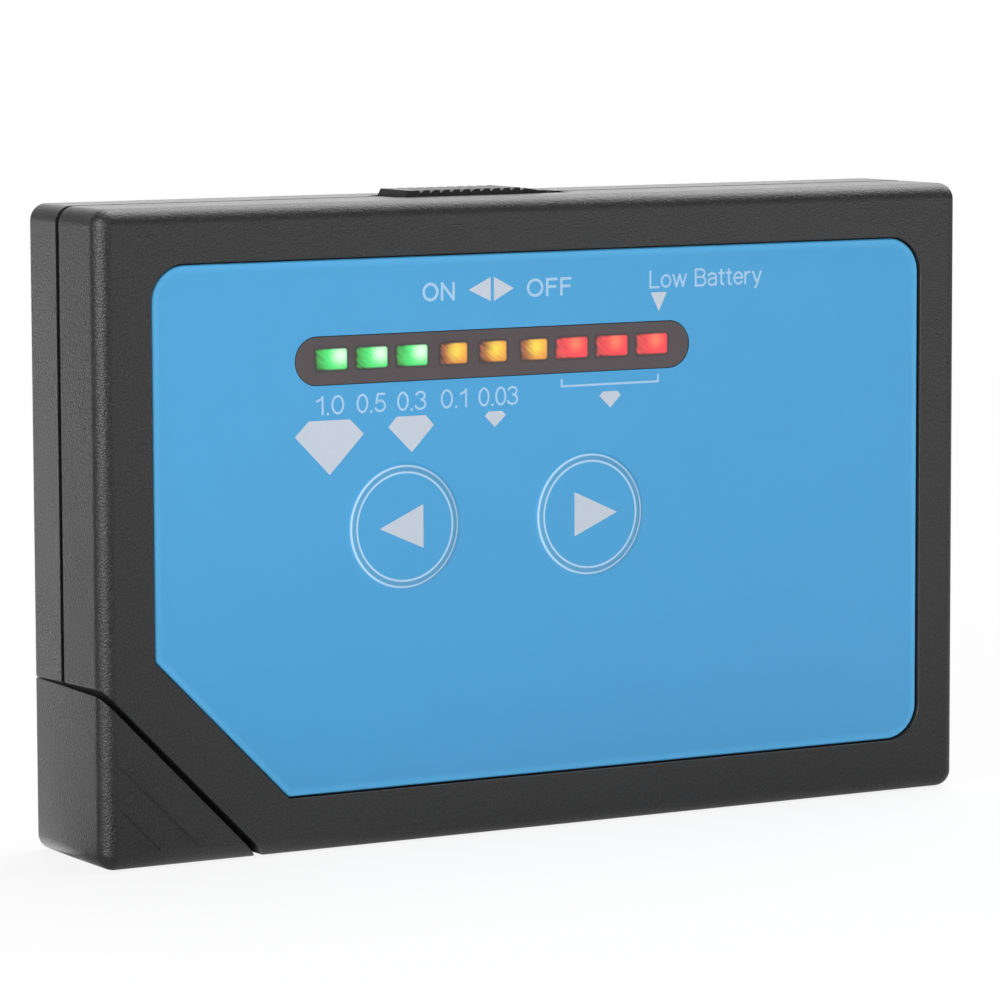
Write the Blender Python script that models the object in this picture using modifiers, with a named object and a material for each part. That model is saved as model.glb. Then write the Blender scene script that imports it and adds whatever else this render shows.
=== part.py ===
"""Pocket thermal diamond tester: a flat two-shell case with a pull-off corner cap over a sprung probe.

The case stands on its long bottom edge. X runs to the right along the front, Y runs from the front to
the back, Z runs up. All sizes are in metres.
"""

import math

import bmesh
import bpy
from mathutils import Color, Matrix, Vector

# Clearances that every piece shares
GAP = 0.0003
OVERRUN = 0.001
MERGE_DISTANCE = 0.00001

# Walls of the two shells, which meet at a parting line with a lip on the front one
WALL = 0.0016
FRONT_WALL = 0.0020
CORNER_RADIUS = 0.0023
FRONT_EDGE_RADIUS = 0.00125
BACK_EDGE_RADIUS = 0.0012
LIP_INSET = 0.0009
LIP_HEIGHT = 0.0009

# Corner cap, its seam at 45 degrees, and the spigot on the case that it slides over
SEAM_LEG = 0.0164
CAP_WALL = 0.0014
SPIGOT_LENGTH = 0.0030
DIAGONAL_WALL = 0.0020
GRIP_STEPS = 2
GRIP_FIRST = 0.00375
GRIP_PITCH = 0.00290
GRIP_RAMP = 0.00190
GRIP_DEPTH = 0.00022
GRIP_MARGIN = 0.00190

# Printed overlay in its recess
OVERLAY_LEFT = 0.0055
OVERLAY_RIGHT = 0.0047
OVERLAY_TOP = 0.0051
OVERLAY_BOTTOM = 0.0054
OVERLAY_CORNER_RADIUS = 0.0032
OVERLAY_TO_SEAM = 0.00565
OVERLAY_THICKNESS = 0.0004
OVERLAY_SUNK = 0.00025

# Smoked window strip, LEDs behind it, and the baffle that keeps them apart
LED_COUNT = 9
LED_PITCH = 0.00431
LED_DROP = 0.0145
LED_WIDTH = 0.0033
LED_HEIGHT = 0.0023
LED_LENGTH = 0.0024
LED_LEG = 0.0005
LED_LEG_SPREAD = 0.0016
STRIP_START = 0.01977
STRIP_END = 0.00406
STRIP_HEIGHT = 0.00445
STRIP_THICKNESS = 0.0014
BAFFLE_MARGIN = 0.0005

# Two embossed keys with a tactile switch under each, placed from the middle of the LED row
LEFT_KEY_OFFSET = -0.00977
RIGHT_KEY_OFFSET = 0.01030
KEY_DROP = 0.01577
KEY_RADIUS = 0.00576
KEY_PLATEAU_RADIUS = 0.00515
KEY_RISE = 0.00020
KEY_POST_RADIUS = 0.0015
KEY_POST_LENGTH = 0.0004
KEY_TRAVEL = 0.0003
TACT_SIDE = 0.0060
TACT_HEIGHT = 0.0028
TACT_STEM_RADIUS = 0.0017
TACT_STEM_DEPTH = 0.0012

# Power switch: slot in the top edge, slide knob, lever and switch body
KNOB_OFFSET = -0.00677
KNOB_LENGTH = 0.01530
KNOB_RISE = 0.00060
KNOB_END_DROP = 0.00040
KNOB_END_SLOPE = 0.00250
KNOB_LEFT_BEVEL = 0.00030
SLOT_LEFT_ROOM = 0.0008
SLOT_RIGHT_ROOM = 0.0011
SLOT_WIDTH = 0.0060
RIB_COUNT = 11
RIB_FIRST = 0.00172
RIB_LAST = 0.00238
RIB_DEPTH = 0.00030
RIB_WIDTH = 0.00062
FLANGE_THICKNESS = 0.0012
FLANGE_OVERHANG = 0.0033
FLANGE_SIDE = 0.0010
FORK_SIDE = 0.0042
FORK_LENGTH = 0.0015
LEVER_SIDE = 0.0016
LEVER_OFF_BOARD = 0.00187
SWITCH_TRAVEL = 0.0020
SWITCH_LENGTH = 0.0086
SWITCH_DEPTH = 0.0042
SWITCH_HEIGHT = 0.0040
SWITCH_DROP = 0.0060
SWITCH_SLOT_DEPTH = 0.0015

# Main board and the pieces soldered to its back, placed as shares of its width and height
BOARD_THICKNESS = 0.0010
BOARD_STANDOFF = 0.0034
BOARD_EDGE = 0.0007
BOARD_END = 0.0056
BOARD_CLEAR = 0.0004
STANDOFF_RADIUS = 0.0020
STANDOFF_SHARES = ((0.133, 0.675), (0.924, 0.281))
BOARD_SCREW_RADIUS = 0.0008
BOARD_SCREW_HEAD_RADIUS = 0.0015
BOARD_SCREW_HEAD_HEIGHT = 0.0011
BOARD_SCREW_LENGTH = 0.0034
CONTROLLER_SHARES = (0.600, 0.235)
CONTROLLER_SIZE = (0.0104, 0.0020, 0.0075)
AMPLIFIER_BEHIND = 0.0027
AMPLIFIER_ASIDE = 0.0050
AMPLIFIER_SIZE = (0.0050, 0.0017, 0.0040)
CHIP_CHAMFER = 0.0003
CAPACITOR_SHARES = (0.242, 0.763)
CAPACITOR_RADIUS = 0.0025
CAPACITOR_HEIGHT = 0.0054
CAPACITOR_GROOVE = 0.0002
TRIMMER_SHARES = (0.397, 0.632)
TRIMMER_SIDE = 0.0063
TRIMMER_HEIGHT = 0.0034
TRIMMER_ROTOR_RADIUS = 0.0018
TRIMMER_ROTOR_DEPTH = 0.0005
TRIMMER_SLOT = 0.0006
BUZZER_SHARES = (0.831, 0.588)
BUZZER_RADIUS = 0.0060
BUZZER_HEIGHT = 0.0050
BUZZER_HOLE_RADIUS = 0.0010
BUZZER_HOLE_DEPTH = 0.0020

# Case screws, driven from the back into bosses of the front shell
SCREW_EDGE = 0.0039
SCREW_TO_BAY = 0.0066
SCREW_TO_SEAM = 0.0055
BOSS_RADIUS = 0.0025
SCREW_RADIUS = 0.0010
SCREW_HEAD_RADIUS = 0.0018
SCREW_HEAD_HEIGHT = 0.0014
SCREW_LENGTH = 0.0070
SCREW_SEAT = 0.0022

# Battery bay with two AAA cells, their contacts and leads
CELL_RADIUS = 0.00525
CELL_LENGTH = 0.0445
CELL_NUB_RADIUS = 0.0019
CELL_NUB_HEIGHT = 0.0010
CELL_EDGE = 0.0004
CELL_APART = 0.0007
CELL_SIDE_ROOM = 0.0010
CELL_FACE_ROOM = 0.00035
BAY_END_ROOM = 0.00325
STRIP_TO_BAY = 0.00513
RIB_THICKNESS = 0.0010
CONTACT_THICKNESS = 0.0004
CONTACT_SIDE = 0.0080
CONTACT_EAR_WIDTH = 0.0022
CONTACT_EAR_LENGTH = 0.0026
BATTERY_SPRING_HEIGHT = 0.0038
BATTERY_SPRING_BASE_RADIUS = 0.0032
BATTERY_SPRING_TOP_RADIUS = 0.0018
BATTERY_SPRING_WIRE = 0.00025
BATTERY_SPRING_TURNS = 4
LEAD_RADIUS = 0.0005

# Battery door, a dovetailed lid that slides off to the right
DOOR_MARGIN = 0.0052
DOOR_DOVETAIL = 0.0009
DOOR_TONGUE = 0.0010
DOOR_TONGUE_THICKNESS = 0.0007
DOOR_GROOVES = 6
DOOR_GROOVE_PITCH = 0.0016
DOOR_GROOVE_WIDTH = 0.0007
DOOR_GROOVE_DEPTH = 0.0004
DOOR_GROOVE_LENGTH = 0.0140
DOOR_GROOVE_FIRST = 0.0050

# Probe, turned about the diagonal through the corner; lengths run outwards from the seam
HOLDER_FLANGE_RADIUS = 0.0044
HOLDER_FLANGE_THICKNESS = 0.0013
HOLDER_RADIUS = 0.0034
HOLDER_NOSE = 0.0006
HOLDER_REAR_RADIUS = 0.0030
HOLDER_REAR = 0.0082
HOLDER_END_WALL = 0.0016
HOLDER_ROOM = 0.0004
SLEEVE_RADIUS = 0.0021
SLEEVE_SHOULDER = 0.0004
SLEEVE_TIP = 0.0030
SLEEVE_TIP_RADIUS = 0.00115
SLEEVE_CHAMBER_RADIUS = 0.0015
SLEEVE_CHAMBER_END = 0.0010
PIN_RADIUS = 0.00045
PIN_COLLAR_RADIUS = 0.0012
PIN_COLLAR_LENGTH = 0.0009
PIN_PROUD = 0.0010
PIN_TAIL = 0.0003
PROBE_TRAVEL = 0.0006
PROBE_SPRING_WIRE = 0.00014
PROBE_SPRING_TURNS = 6
BEAD_RADIUS = 0.0009
BEAD_LENGTH = 0.0014
PROBE_LEAD_RADIUS = 0.0003
PROBE_LEAD_LENGTH = 0.0078

# Facets
CORNER_STEPS = 6
EDGE_STEPS = 4
SIDES = 24
SMALL_SIDES = 16
ARC_STEPS = 8

# The case is as wide as its display and bay together, as high as a cell between its contacts, and as
# deep as a cell or the probe behind the board needs
ROOT_TWO = math.sqrt(2)
STRIP_LENGTH = (LED_COUNT - 1) * LED_PITCH + 2 * STRIP_END
CELL_PITCH = 2 * CELL_RADIUS + CELL_APART
BAY_WIDTH = CELL_PITCH + 2 * (CELL_RADIUS + CELL_SIDE_ROOM)
CASE_WIDTH = STRIP_START + STRIP_LENGTH + STRIP_TO_BAY + RIB_THICKNESS + BAY_WIDTH + WALL
CONTACT_LOW_Z = WALL + BAY_END_ROOM
CELL_SEAT_Z = CONTACT_LOW_Z + CONTACT_THICKNESS + GAP
CASE_HEIGHT = 2 * CELL_SEAT_Z + CELL_LENGTH + BATTERY_SPRING_HEIGHT + 2 * GAP
FRONT_SHELL_DEPTH = FRONT_WALL + BOARD_STANDOFF + BOARD_THICKNESS + LEVER_OFF_BOARD
CASE_DEPTH = max(
    FRONT_WALL + 2 * (CELL_RADIUS + CELL_FACE_ROOM) + WALL,
    FRONT_SHELL_DEPTH + HOLDER_FLANGE_RADIUS + HOLDER_ROOM + WALL,
)

# Places that follow from the sizes above
LEFT_X = -CASE_WIDTH / 2
RIGHT_X = CASE_WIDTH / 2
FRONT_Y = -CASE_DEPTH / 2
BACK_Y = CASE_DEPTH / 2
PARTING_Y = FRONT_Y + FRONT_SHELL_DEPTH
INNER_FRONT_Y = FRONT_Y + FRONT_WALL
INNER_BACK_Y = BACK_Y - WALL
TOP_INNER_Z = CASE_HEIGHT - WALL
SEAM_SUM = LEFT_X + SEAM_LEG
FILM_FRONT_Y = FRONT_Y + OVERLAY_SUNK
FILM_BACK_Y = FILM_FRONT_Y + OVERLAY_THICKNESS
RECESS_Y = FILM_BACK_Y + GAP
LED_ROW_X = LEFT_X + STRIP_START + STRIP_LENGTH / 2
LED_ROW_Z = CASE_HEIGHT - LED_DROP
KEY_XS = (LED_ROW_X + LEFT_KEY_OFFSET, LED_ROW_X + RIGHT_KEY_OFFSET)
KEY_Z = LED_ROW_Z - KEY_DROP
KNOB_LEFT_X = LED_ROW_X + KNOB_OFFSET
KNOB_RIGHT_X = KNOB_LEFT_X + KNOB_LENGTH
KNOB_CENTRE_X = (KNOB_LEFT_X + KNOB_RIGHT_X) / 2
RIB_PITCH = (KNOB_LENGTH - RIB_FIRST - RIB_LAST) / (RIB_COUNT - 1)
SLOT_LEFT_X = KNOB_LEFT_X - SLOT_LEFT_ROOM
SLOT_RIGHT_X = KNOB_RIGHT_X + SWITCH_TRAVEL + SLOT_RIGHT_ROOM
SWITCH_TOP_Z = CASE_HEIGHT - SWITCH_DROP
BAY_LEFT_X = RIGHT_X - WALL - BAY_WIDTH - RIB_THICKNESS
BAY_CENTRE_X = (BAY_LEFT_X + RIB_THICKNESS + RIGHT_X - WALL) / 2
CELL_Y = (INNER_FRONT_Y + INNER_BACK_Y) / 2
CONTACT_HIGH_Z = CASE_HEIGHT - CONTACT_LOW_Z
BOARD_FRONT_Y = INNER_FRONT_Y + BOARD_STANDOFF
BOARD_BACK_Y = BOARD_FRONT_Y + BOARD_THICKNESS
BOARD_LEFT_X = LEFT_X + WALL + BOARD_EDGE
BOARD_RIGHT_X = BAY_LEFT_X - BOARD_EDGE
BOARD_LOW_Z = WALL + BOARD_END
BOARD_HIGH_Z = CASE_HEIGHT - BOARD_LOW_Z
SLEEVE_SHOULDER_OUT = SPIGOT_LENGTH + SLEEVE_SHOULDER
SLEEVE_TIP_OUT = SLEEVE_SHOULDER_OUT + SLEEVE_TIP
PIN_TIP_OUT = SLEEVE_TIP_OUT + PIN_PROUD
PIN_TAIL_OUT = -HOLDER_REAR - PIN_TAIL
BEAD_FRONT_OUT = PIN_TAIL_OUT - GAP
PROBE_LEAD_START_OUT = BEAD_FRONT_OUT - BEAD_LENGTH - PROBE_TRAVEL - GAP
PROBE_LEAD_END_OUT = PROBE_LEAD_START_OUT - PROBE_LEAD_LENGTH


def board_place(shares):
    """A point on the board, given as shares of its width and height from its lower left."""
    across, up = shares
    x = BOARD_LEFT_X + across * (BOARD_RIGHT_X - BOARD_LEFT_X)
    return x, BOARD_LOW_Z + up * (BOARD_HIGH_Z - BOARD_LOW_Z)


STANDOFF_PLACES = [board_place(shares) for shares in STANDOFF_SHARES]

parts = bpy.data.collections.new("diamond_tester")
tools = bpy.data.collections.new("cutters")
for old in list(bpy.data.objects):
    bpy.data.objects.remove(old, do_unlink=True)
for group in (parts, tools):
    bpy.context.scene.collection.children.link(group)


def place(name, bm, centre, into):
    """Turns a bmesh made about the origin into an object at its place."""
    mesh = bpy.data.meshes.new(name)
    bm.to_mesh(mesh)
    bm.free()
    obj = bpy.data.objects.new(name, mesh)
    obj.location = centre
    into.objects.link(obj)
    if into is tools:
        obj.hide_render = True
        obj.display_type = "WIRE"
    return obj


def block(name, low, high, into=tools):
    """A plain box between two corners."""
    low, high = Vector(low), Vector(high)
    bm = bmesh.new()
    bmesh.ops.create_cube(bm, size=1)
    bmesh.ops.scale(bm, vec=high - low, verts=bm.verts)
    return place(name, bm, (low + high) / 2, into)


def rounded_block(name, low, high, corner, front=0, back=0, into=tools):
    """A box with rounded corners as seen from the front, and rounded front and back edges."""
    low, high = Vector(low), Vector(high)
    bm = bmesh.new()
    bmesh.ops.create_cube(bm, size=1)
    bmesh.ops.scale(bm, vec=high - low, verts=bm.verts)
    upright = [e for e in bm.edges if e.verts[0].co.y * e.verts[1].co.y < 0]
    bmesh.ops.bevel(bm, geom=upright, offset=corner, segments=CORNER_STEPS, profile=0.5, affect="EDGES")
    for radius, side in ((front, -1), (back, 1)):
        if radius:
            rim = [e for e in bm.edges if all(v.co.y * side > 0 for v in e.verts)]
            bmesh.ops.bevel(bm, geom=rim, offset=radius, segments=EDGE_STEPS, profile=0.5, affect="EDGES")
    return place(name, bm, (low + high) / 2, into)


def cylinder(name, x, z, radius, y_low, y_high, sides=SIDES, into=tools):
    """A round bar that runs from front to back."""
    bm = bmesh.new()
    bmesh.ops.create_cone(
        bm, cap_ends=True, segments=sides, radius1=radius, radius2=radius, depth=y_high - y_low
    )
    bmesh.ops.rotate(bm, verts=bm.verts, matrix=Matrix.Rotation(math.pi / 2, 3, "X"))
    return place(name, bm, (x, (y_low + y_high) / 2, z), into)


def diagonal_block(name, sum_low, sum_high, y_low, y_high, into=tools):
    """A box turned to the seam's 45 degrees, between two values of x + z."""
    bm = bmesh.new()
    bmesh.ops.create_cube(bm, size=1)
    reach = CASE_WIDTH + CASE_HEIGHT
    bmesh.ops.scale(bm, vec=((sum_high - sum_low) / ROOT_TWO, y_high - y_low, reach), verts=bm.verts)
    middle = (sum_low + sum_high) / 2
    obj = place(name, bm, (middle / 2, (y_low + y_high) / 2, middle / 2), into)
    obj.rotation_euler = (0, -math.pi / 4, 0)
    return obj


def arc(x, z, radius, start, end, steps=ARC_STEPS):
    """Points along an arc, by angle from +X towards +Z."""
    turns = [start + (end - start) * i / steps for i in range(steps + 1)]
    return [(x + radius * math.cos(t), z + radius * math.sin(t)) for t in turns]


def ring(x, z, radius, sides=SIDES):
    return arc(x, z, radius, 0, math.tau, sides)[:-1]


def plate(name, outlines, y_low, y_high, into=parts):
    """A flat outline in the XZ plane, with any holes as further outlines, made a solid plate."""
    curve = bpy.data.curves.new(name, "CURVE")
    curve.dimensions = "2D"
    curve.fill_mode = "BOTH"
    curve.extrude = (y_high - y_low) / 2
    for outline in outlines:
        spline = curve.splines.new("POLY")
        spline.points.add(len(outline) - 1)
        for point, (x, z) in zip(spline.points, outline):
            point.co = (x, z, 0, 1)
        spline.use_cyclic_u = True
    guide = bpy.data.objects.new(name + "_outline", curve)
    guide.location = (0, (y_low + y_high) / 2, 0)
    guide.rotation_euler = (math.pi / 2, 0, 0)
    return curve_to_mesh(name, guide, into)


def curve_to_mesh(name, guide, into):
    """Makes a curve object a closed mesh object at the same place, and removes the curve."""
    tools.objects.link(guide)
    bpy.context.view_layer.update()
    seen = guide.evaluated_get(bpy.context.evaluated_depsgraph_get())
    mesh = bpy.data.meshes.new_from_object(seen)
    mesh.name = name
    bm = bmesh.new()
    bm.from_mesh(mesh)
    bmesh.ops.remove_doubles(bm, verts=bm.verts, dist=MERGE_DISTANCE)
    bmesh.ops.recalc_face_normals(bm, faces=bm.faces)
    bm.to_mesh(mesh)
    bm.free()
    obj = bpy.data.objects.new(name, mesh)
    obj.matrix_world = guide.matrix_world
    bpy.data.objects.remove(guide, do_unlink=True)
    into.objects.link(obj)
    if into is tools:
        obj.hide_render = True
        obj.display_type = "WIRE"
    return obj


def turned(name, profile, centre=(0, 0, 0), turn=(0, 0, 0), sides=SIDES, into=parts):
    """A turned piece: (radius, height) points down the outer side, spun about its own Z axis."""
    bm = bmesh.new()
    verts = [bm.verts.new((radius, 0, height)) for radius, height in profile]
    for first, second in zip(verts, verts[1:]):
        bm.edges.new((first, second))
    if profile[0][0] > 0:
        bm.edges.new((verts[-1], verts[0]))
    obj = place(name, bm, centre, into)
    obj.rotation_euler = turn
    screw = obj.modifiers.new("turn", "SCREW")
    screw.axis = "Z"
    screw.steps = sides
    screw.render_steps = sides
    screw.use_merge_vertices = True
    screw.merge_threshold = MERGE_DISTANCE
    screw.use_smooth_shade = True
    return obj


def tube(name, points, radius, into=parts):
    """A wire or spring along the given points, with closed ends."""
    curve = bpy.data.curves.new(name, "CURVE")
    curve.dimensions = "3D"
    curve.bevel_depth = radius
    curve.bevel_resolution = 2
    curve.use_fill_caps = True
    spline = curve.splines.new("POLY")
    spline.points.add(len(points) - 1)
    for point, co in zip(spline.points, points):
        point.co = (*co, 1)
    obj = bpy.data.objects.new(name, curve)
    into.objects.link(obj)
    return obj


def boolean(target, tool, operation):
    modifier = target.modifiers.new(operation.lower() + "_" + tool.name, "BOOLEAN")
    modifier.operation = operation
    modifier.solver = "EXACT"
    modifier.object = tool


def cut(target, *cutters):
    for cutter in cutters:
        boolean(target, cutter, "DIFFERENCE")


def fuse(target, *pieces):
    for piece in pieces:
        boolean(target, piece, "UNION")


def keep(target, *limits):
    for limit in limits:
        boolean(target, limit, "INTERSECT")


def finish(obj, colour, roughness, metallic=0.0):
    """Gives a piece its own plain material; the colour is written as it looks on a screen."""
    material = bpy.data.materials.new(obj.name)
    material.use_nodes = True
    shader = material.node_tree.nodes["Principled BSDF"]
    linear = Color(colour).from_srgb_to_scene_linear()
    shader.inputs["Base Color"].default_value = (*linear, 1)
    shader.inputs["Roughness"].default_value = roughness
    shader.inputs["Metallic"].default_value = metallic
    obj.data.materials.append(material)
    return obj


BLACK_PLASTIC = (0.13, 0.13, 0.13)
PANEL_BLUE = (0.34, 0.63, 0.82)
SMOKED = (0.16, 0.14, 0.15)
BOARD_GREEN = (0.10, 0.32, 0.18)
DARK_RESIN = (0.10, 0.10, 0.11)
STEEL = (0.66, 0.67, 0.69)
BRASS = (0.80, 0.64, 0.34)
LED_COLOURS = (("green", (0.25, 0.85, 0.35)), ("amber", (0.95, 0.65, 0.20)), ("red", (0.92, 0.22, 0.20)))


def stadium(centre_x, centre_z, length, height):
    """Outline of a strip with round ends."""
    radius = height / 2
    reach = length / 2 - radius
    right = arc(centre_x + reach, centre_z, radius, -math.pi / 2, math.pi / 2)
    left = arc(centre_x - reach, centre_z, radius, math.pi / 2, math.pi * 3 / 2)
    return right + left


def overlay_outline(grow):
    """Outline of the overlay, three corners round and one cut along the cap's seam."""
    left = LEFT_X + OVERLAY_LEFT - grow
    right = RIGHT_X - OVERLAY_RIGHT + grow
    low = OVERLAY_BOTTOM - grow
    high = CASE_HEIGHT - OVERLAY_TOP + grow
    radius = OVERLAY_CORNER_RADIUS + grow
    cut_sum = SEAM_SUM + (OVERLAY_TO_SEAM - grow) * ROOT_TWO
    quarter = math.pi / 2
    points = [(left, cut_sum - left), (cut_sum - low, low)]
    points += arc(right - radius, low + radius, radius, -quarter, 0)
    points += arc(right - radius, high - radius, radius, 0, quarter)
    points += arc(left + radius, high - radius, radius, quarter, math.pi)
    return points


def led_x(index):
    return LED_ROW_X + (index - (LED_COUNT - 1) / 2) * LED_PITCH


def rectangle(x, z, width, height):
    w, h = width / 2, height / 2
    return [(x - w, z - h), (x + w, z - h), (x + w, z + h), (x - w, z + h)]


# Turn that carries a turned piece's own Z onto the probe's axis, out through the cut corner
PROBE_TURN = (0, -math.pi * 3 / 4, 0)
PROBE_BASE = (LEFT_X + SEAM_LEG / 2, PARTING_Y, SEAM_LEG / 2)


def probe_point(out, side=0, back=0):
    """A point at a distance out along the probe's axis, with offsets across it."""
    x, y, z = PROBE_BASE
    return (x - (out + side) / ROOT_TWO, y + back, z - (out - side) / ROOT_TWO)


def screw_places():
    top = CASE_HEIGHT - SCREW_EDGE
    return (
        (LEFT_X + SCREW_EDGE, top),
        (SEAM_SUM + SCREW_TO_SEAM * ROOT_TWO - SCREW_EDGE, SCREW_EDGE),
        (BAY_LEFT_X - SCREW_TO_BAY, top),
        (BAY_LEFT_X - SCREW_TO_BAY, SCREW_EDGE),
    )


def make_shared_cutters():
    """Cutters and guides that both shells, or a shell and its neighbour, are made with."""
    seam_low = LEFT_X - CASE_HEIGHT
    shared = {}
    shared["cap_side"] = diagonal_block(
        "cap_side", seam_low, SEAM_SUM + GAP / 2 * ROOT_TWO, FRONT_Y - OVERRUN, BACK_Y + OVERRUN
    )
    shared["spigot_band"] = diagonal_block(
        "spigot_band",
        SEAM_SUM - SPIGOT_LENGTH * ROOT_TWO,
        SEAM_SUM + DIAGONAL_WALL / 2 * ROOT_TWO,
        FRONT_Y,
        BACK_Y,
    )
    shared["inner_side"] = diagonal_block(
        "inner_side",
        SEAM_SUM + DIAGONAL_WALL * ROOT_TWO,
        RIGHT_X + CASE_HEIGHT + OVERRUN,
        FRONT_Y,
        BACK_Y,
    )
    shared["lip_side"] = diagonal_block(
        "lip_side", SEAM_SUM + LIP_INSET * ROOT_TWO, RIGHT_X + CASE_HEIGHT + OVERRUN, FRONT_Y, BACK_Y
    )
    shared["lip_groove_side"] = diagonal_block(
        "lip_groove_side",
        SEAM_SUM + (LIP_INSET - GAP) * ROOT_TWO,
        RIGHT_X + CASE_HEIGHT + OVERRUN,
        FRONT_Y,
        BACK_Y,
    )
    shared["probe_bore"] = turned(
        "probe_bore",
        (
            (0, SPIGOT_LENGTH + OVERRUN),
            (SLEEVE_RADIUS + GAP, SPIGOT_LENGTH + OVERRUN),
            (SLEEVE_RADIUS + GAP, HOLDER_NOSE + GAP),
            (HOLDER_RADIUS + GAP, HOLDER_NOSE + GAP),
            (HOLDER_RADIUS + GAP, -DIAGONAL_WALL - OVERRUN),
            (0, -DIAGONAL_WALL - OVERRUN),
        ),
        PROBE_BASE,
        PROBE_TURN,
        into=tools,
    )
    shared["switch_slot"] = block(
        "switch_slot",
        (SLOT_LEFT_X, PARTING_Y - SLOT_WIDTH / 2, TOP_INNER_Z - OVERRUN / 2),
        (SLOT_RIGHT_X, PARTING_Y + SLOT_WIDTH / 2, CASE_HEIGHT + OVERRUN),
    )
    return shared


def spigot(name, y_low, y_high, shared):
    """Half of the block that carries the cap, set in from the case's faces by the cap's wall."""
    inset = CAP_WALL + GAP
    half = block(
        name,
        (LEFT_X + inset, y_low, inset),
        (LEFT_X + SEAM_LEG + SEAM_LEG, y_high, SEAM_LEG + SEAM_LEG),
    )
    keep(half, shared["spigot_band"])
    return half


def cavity(name, y_low, y_high, shared):
    """The hollow of one shell, closed off by the diagonal wall behind the cap."""
    hollow = rounded_block(
        name,
        (LEFT_X + WALL, y_low, WALL),
        (RIGHT_X - WALL, y_high, CASE_HEIGHT - WALL),
        max(CORNER_RADIUS - WALL, GAP),
    )
    keep(hollow, shared["inner_side"])
    return hollow


def lip_block(name, inset, y_low, y_high, side, shared):
    """Solid inside the line of the lip, or inside its groove."""
    solid = rounded_block(
        name,
        (LEFT_X + inset, y_low, inset),
        (RIGHT_X - inset, y_high, CASE_HEIGHT - inset),
        CORNER_RADIUS - inset,
    )
    keep(solid, shared[side])
    return solid


def make_front_shell(shared):
    rim_y = PARTING_Y - GAP / 2
    shell = rounded_block(
        "front_shell",
        (LEFT_X, FRONT_Y, 0),
        (RIGHT_X, rim_y, CASE_HEIGHT),
        CORNER_RADIUS,
        front=FRONT_EDGE_RADIUS,
        into=parts,
    )
    cut(shell, shared["cap_side"])
    fuse(shell, spigot("front_spigot", FRONT_Y + CAP_WALL + GAP, rim_y, shared))
    lip_y = PARTING_Y + LIP_HEIGHT
    fuse(shell, lip_block("front_lip", LIP_INSET, PARTING_Y - WALL, lip_y, "lip_side", shared))
    cut(shell, cavity("front_cavity", INNER_FRONT_Y, lip_y + OVERRUN, shared))

    # Ribs round the battery bay
    bay_right = RIGHT_X - WALL / 2
    rib_y = INNER_FRONT_Y - FRONT_WALL / 4
    end_low = CONTACT_LOW_Z - GAP
    end_high = CONTACT_HIGH_Z + GAP
    ribs = [
        block(
            "bay_rib",
            (BAY_LEFT_X, rib_y, WALL / 2),
            (BAY_LEFT_X + RIB_THICKNESS, rim_y, CASE_HEIGHT - WALL / 2),
        ),
        block(
            "bay_low_rib",
            (BAY_LEFT_X + RIB_THICKNESS / 2, rib_y, end_low - RIB_THICKNESS),
            (bay_right, rim_y - GAP, end_low),
        ),
        block(
            "bay_high_rib",
            (BAY_LEFT_X + RIB_THICKNESS / 2, rib_y, end_high),
            (bay_right, rim_y - GAP, end_high + RIB_THICKNESS),
        ),
    ]
    fuse(shell, *ribs)

    # Screw bosses and board standoffs with their pilot holes
    for index, (x, z) in enumerate(screw_places()):
        fuse(shell, cylinder("boss_%d" % index, x, z, BOSS_RADIUS, rib_y, rim_y))
    for index, (x, z) in enumerate(STANDOFF_PLACES):
        top = BOARD_FRONT_Y - GAP
        fuse(shell, cylinder("standoff_%d" % index, x, z, STANDOFF_RADIUS, rib_y, top, SMALL_SIDES))
    for index, (x, z) in enumerate(screw_places()):
        depth = screw_tip_y() - GAP
        hole = SCREW_RADIUS + GAP
        cut(shell, cylinder("pilot_%d" % index, x, z, hole, depth, BACK_Y, SMALL_SIDES))
    for index, (x, z) in enumerate(STANDOFF_PLACES):
        depth = board_screw_tip_y() - GAP
        hole = BOARD_SCREW_RADIUS + GAP
        cut(shell, cylinder("board_pilot_%d" % index, x, z, hole, depth, BOARD_FRONT_Y, SMALL_SIDES))

    # Recess for the overlay, slot for the window strip, and the two key holes
    recess = plate("overlay_recess", [overlay_outline(GAP)], FRONT_Y - OVERRUN, RECESS_Y, tools)
    slot = plate(
        "strip_slot",
        [stadium(LED_ROW_X, LED_ROW_Z, STRIP_LENGTH + 2 * GAP, STRIP_HEIGHT + 2 * GAP)],
        FRONT_Y - OVERRUN,
        INNER_FRONT_Y + OVERRUN,
        tools,
    )
    cut(shell, recess, slot)
    for index, x in enumerate(KEY_XS):
        hole = KEY_RADIUS + GAP
        cut(shell, cylinder("key_hole_%d" % index, x, KEY_Z, hole, FRONT_Y, INNER_FRONT_Y + OVERRUN, 32))
    cut(shell, shared["switch_slot"], shared["probe_bore"])
    return finish(shell, BLACK_PLASTIC, 0.55)


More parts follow.
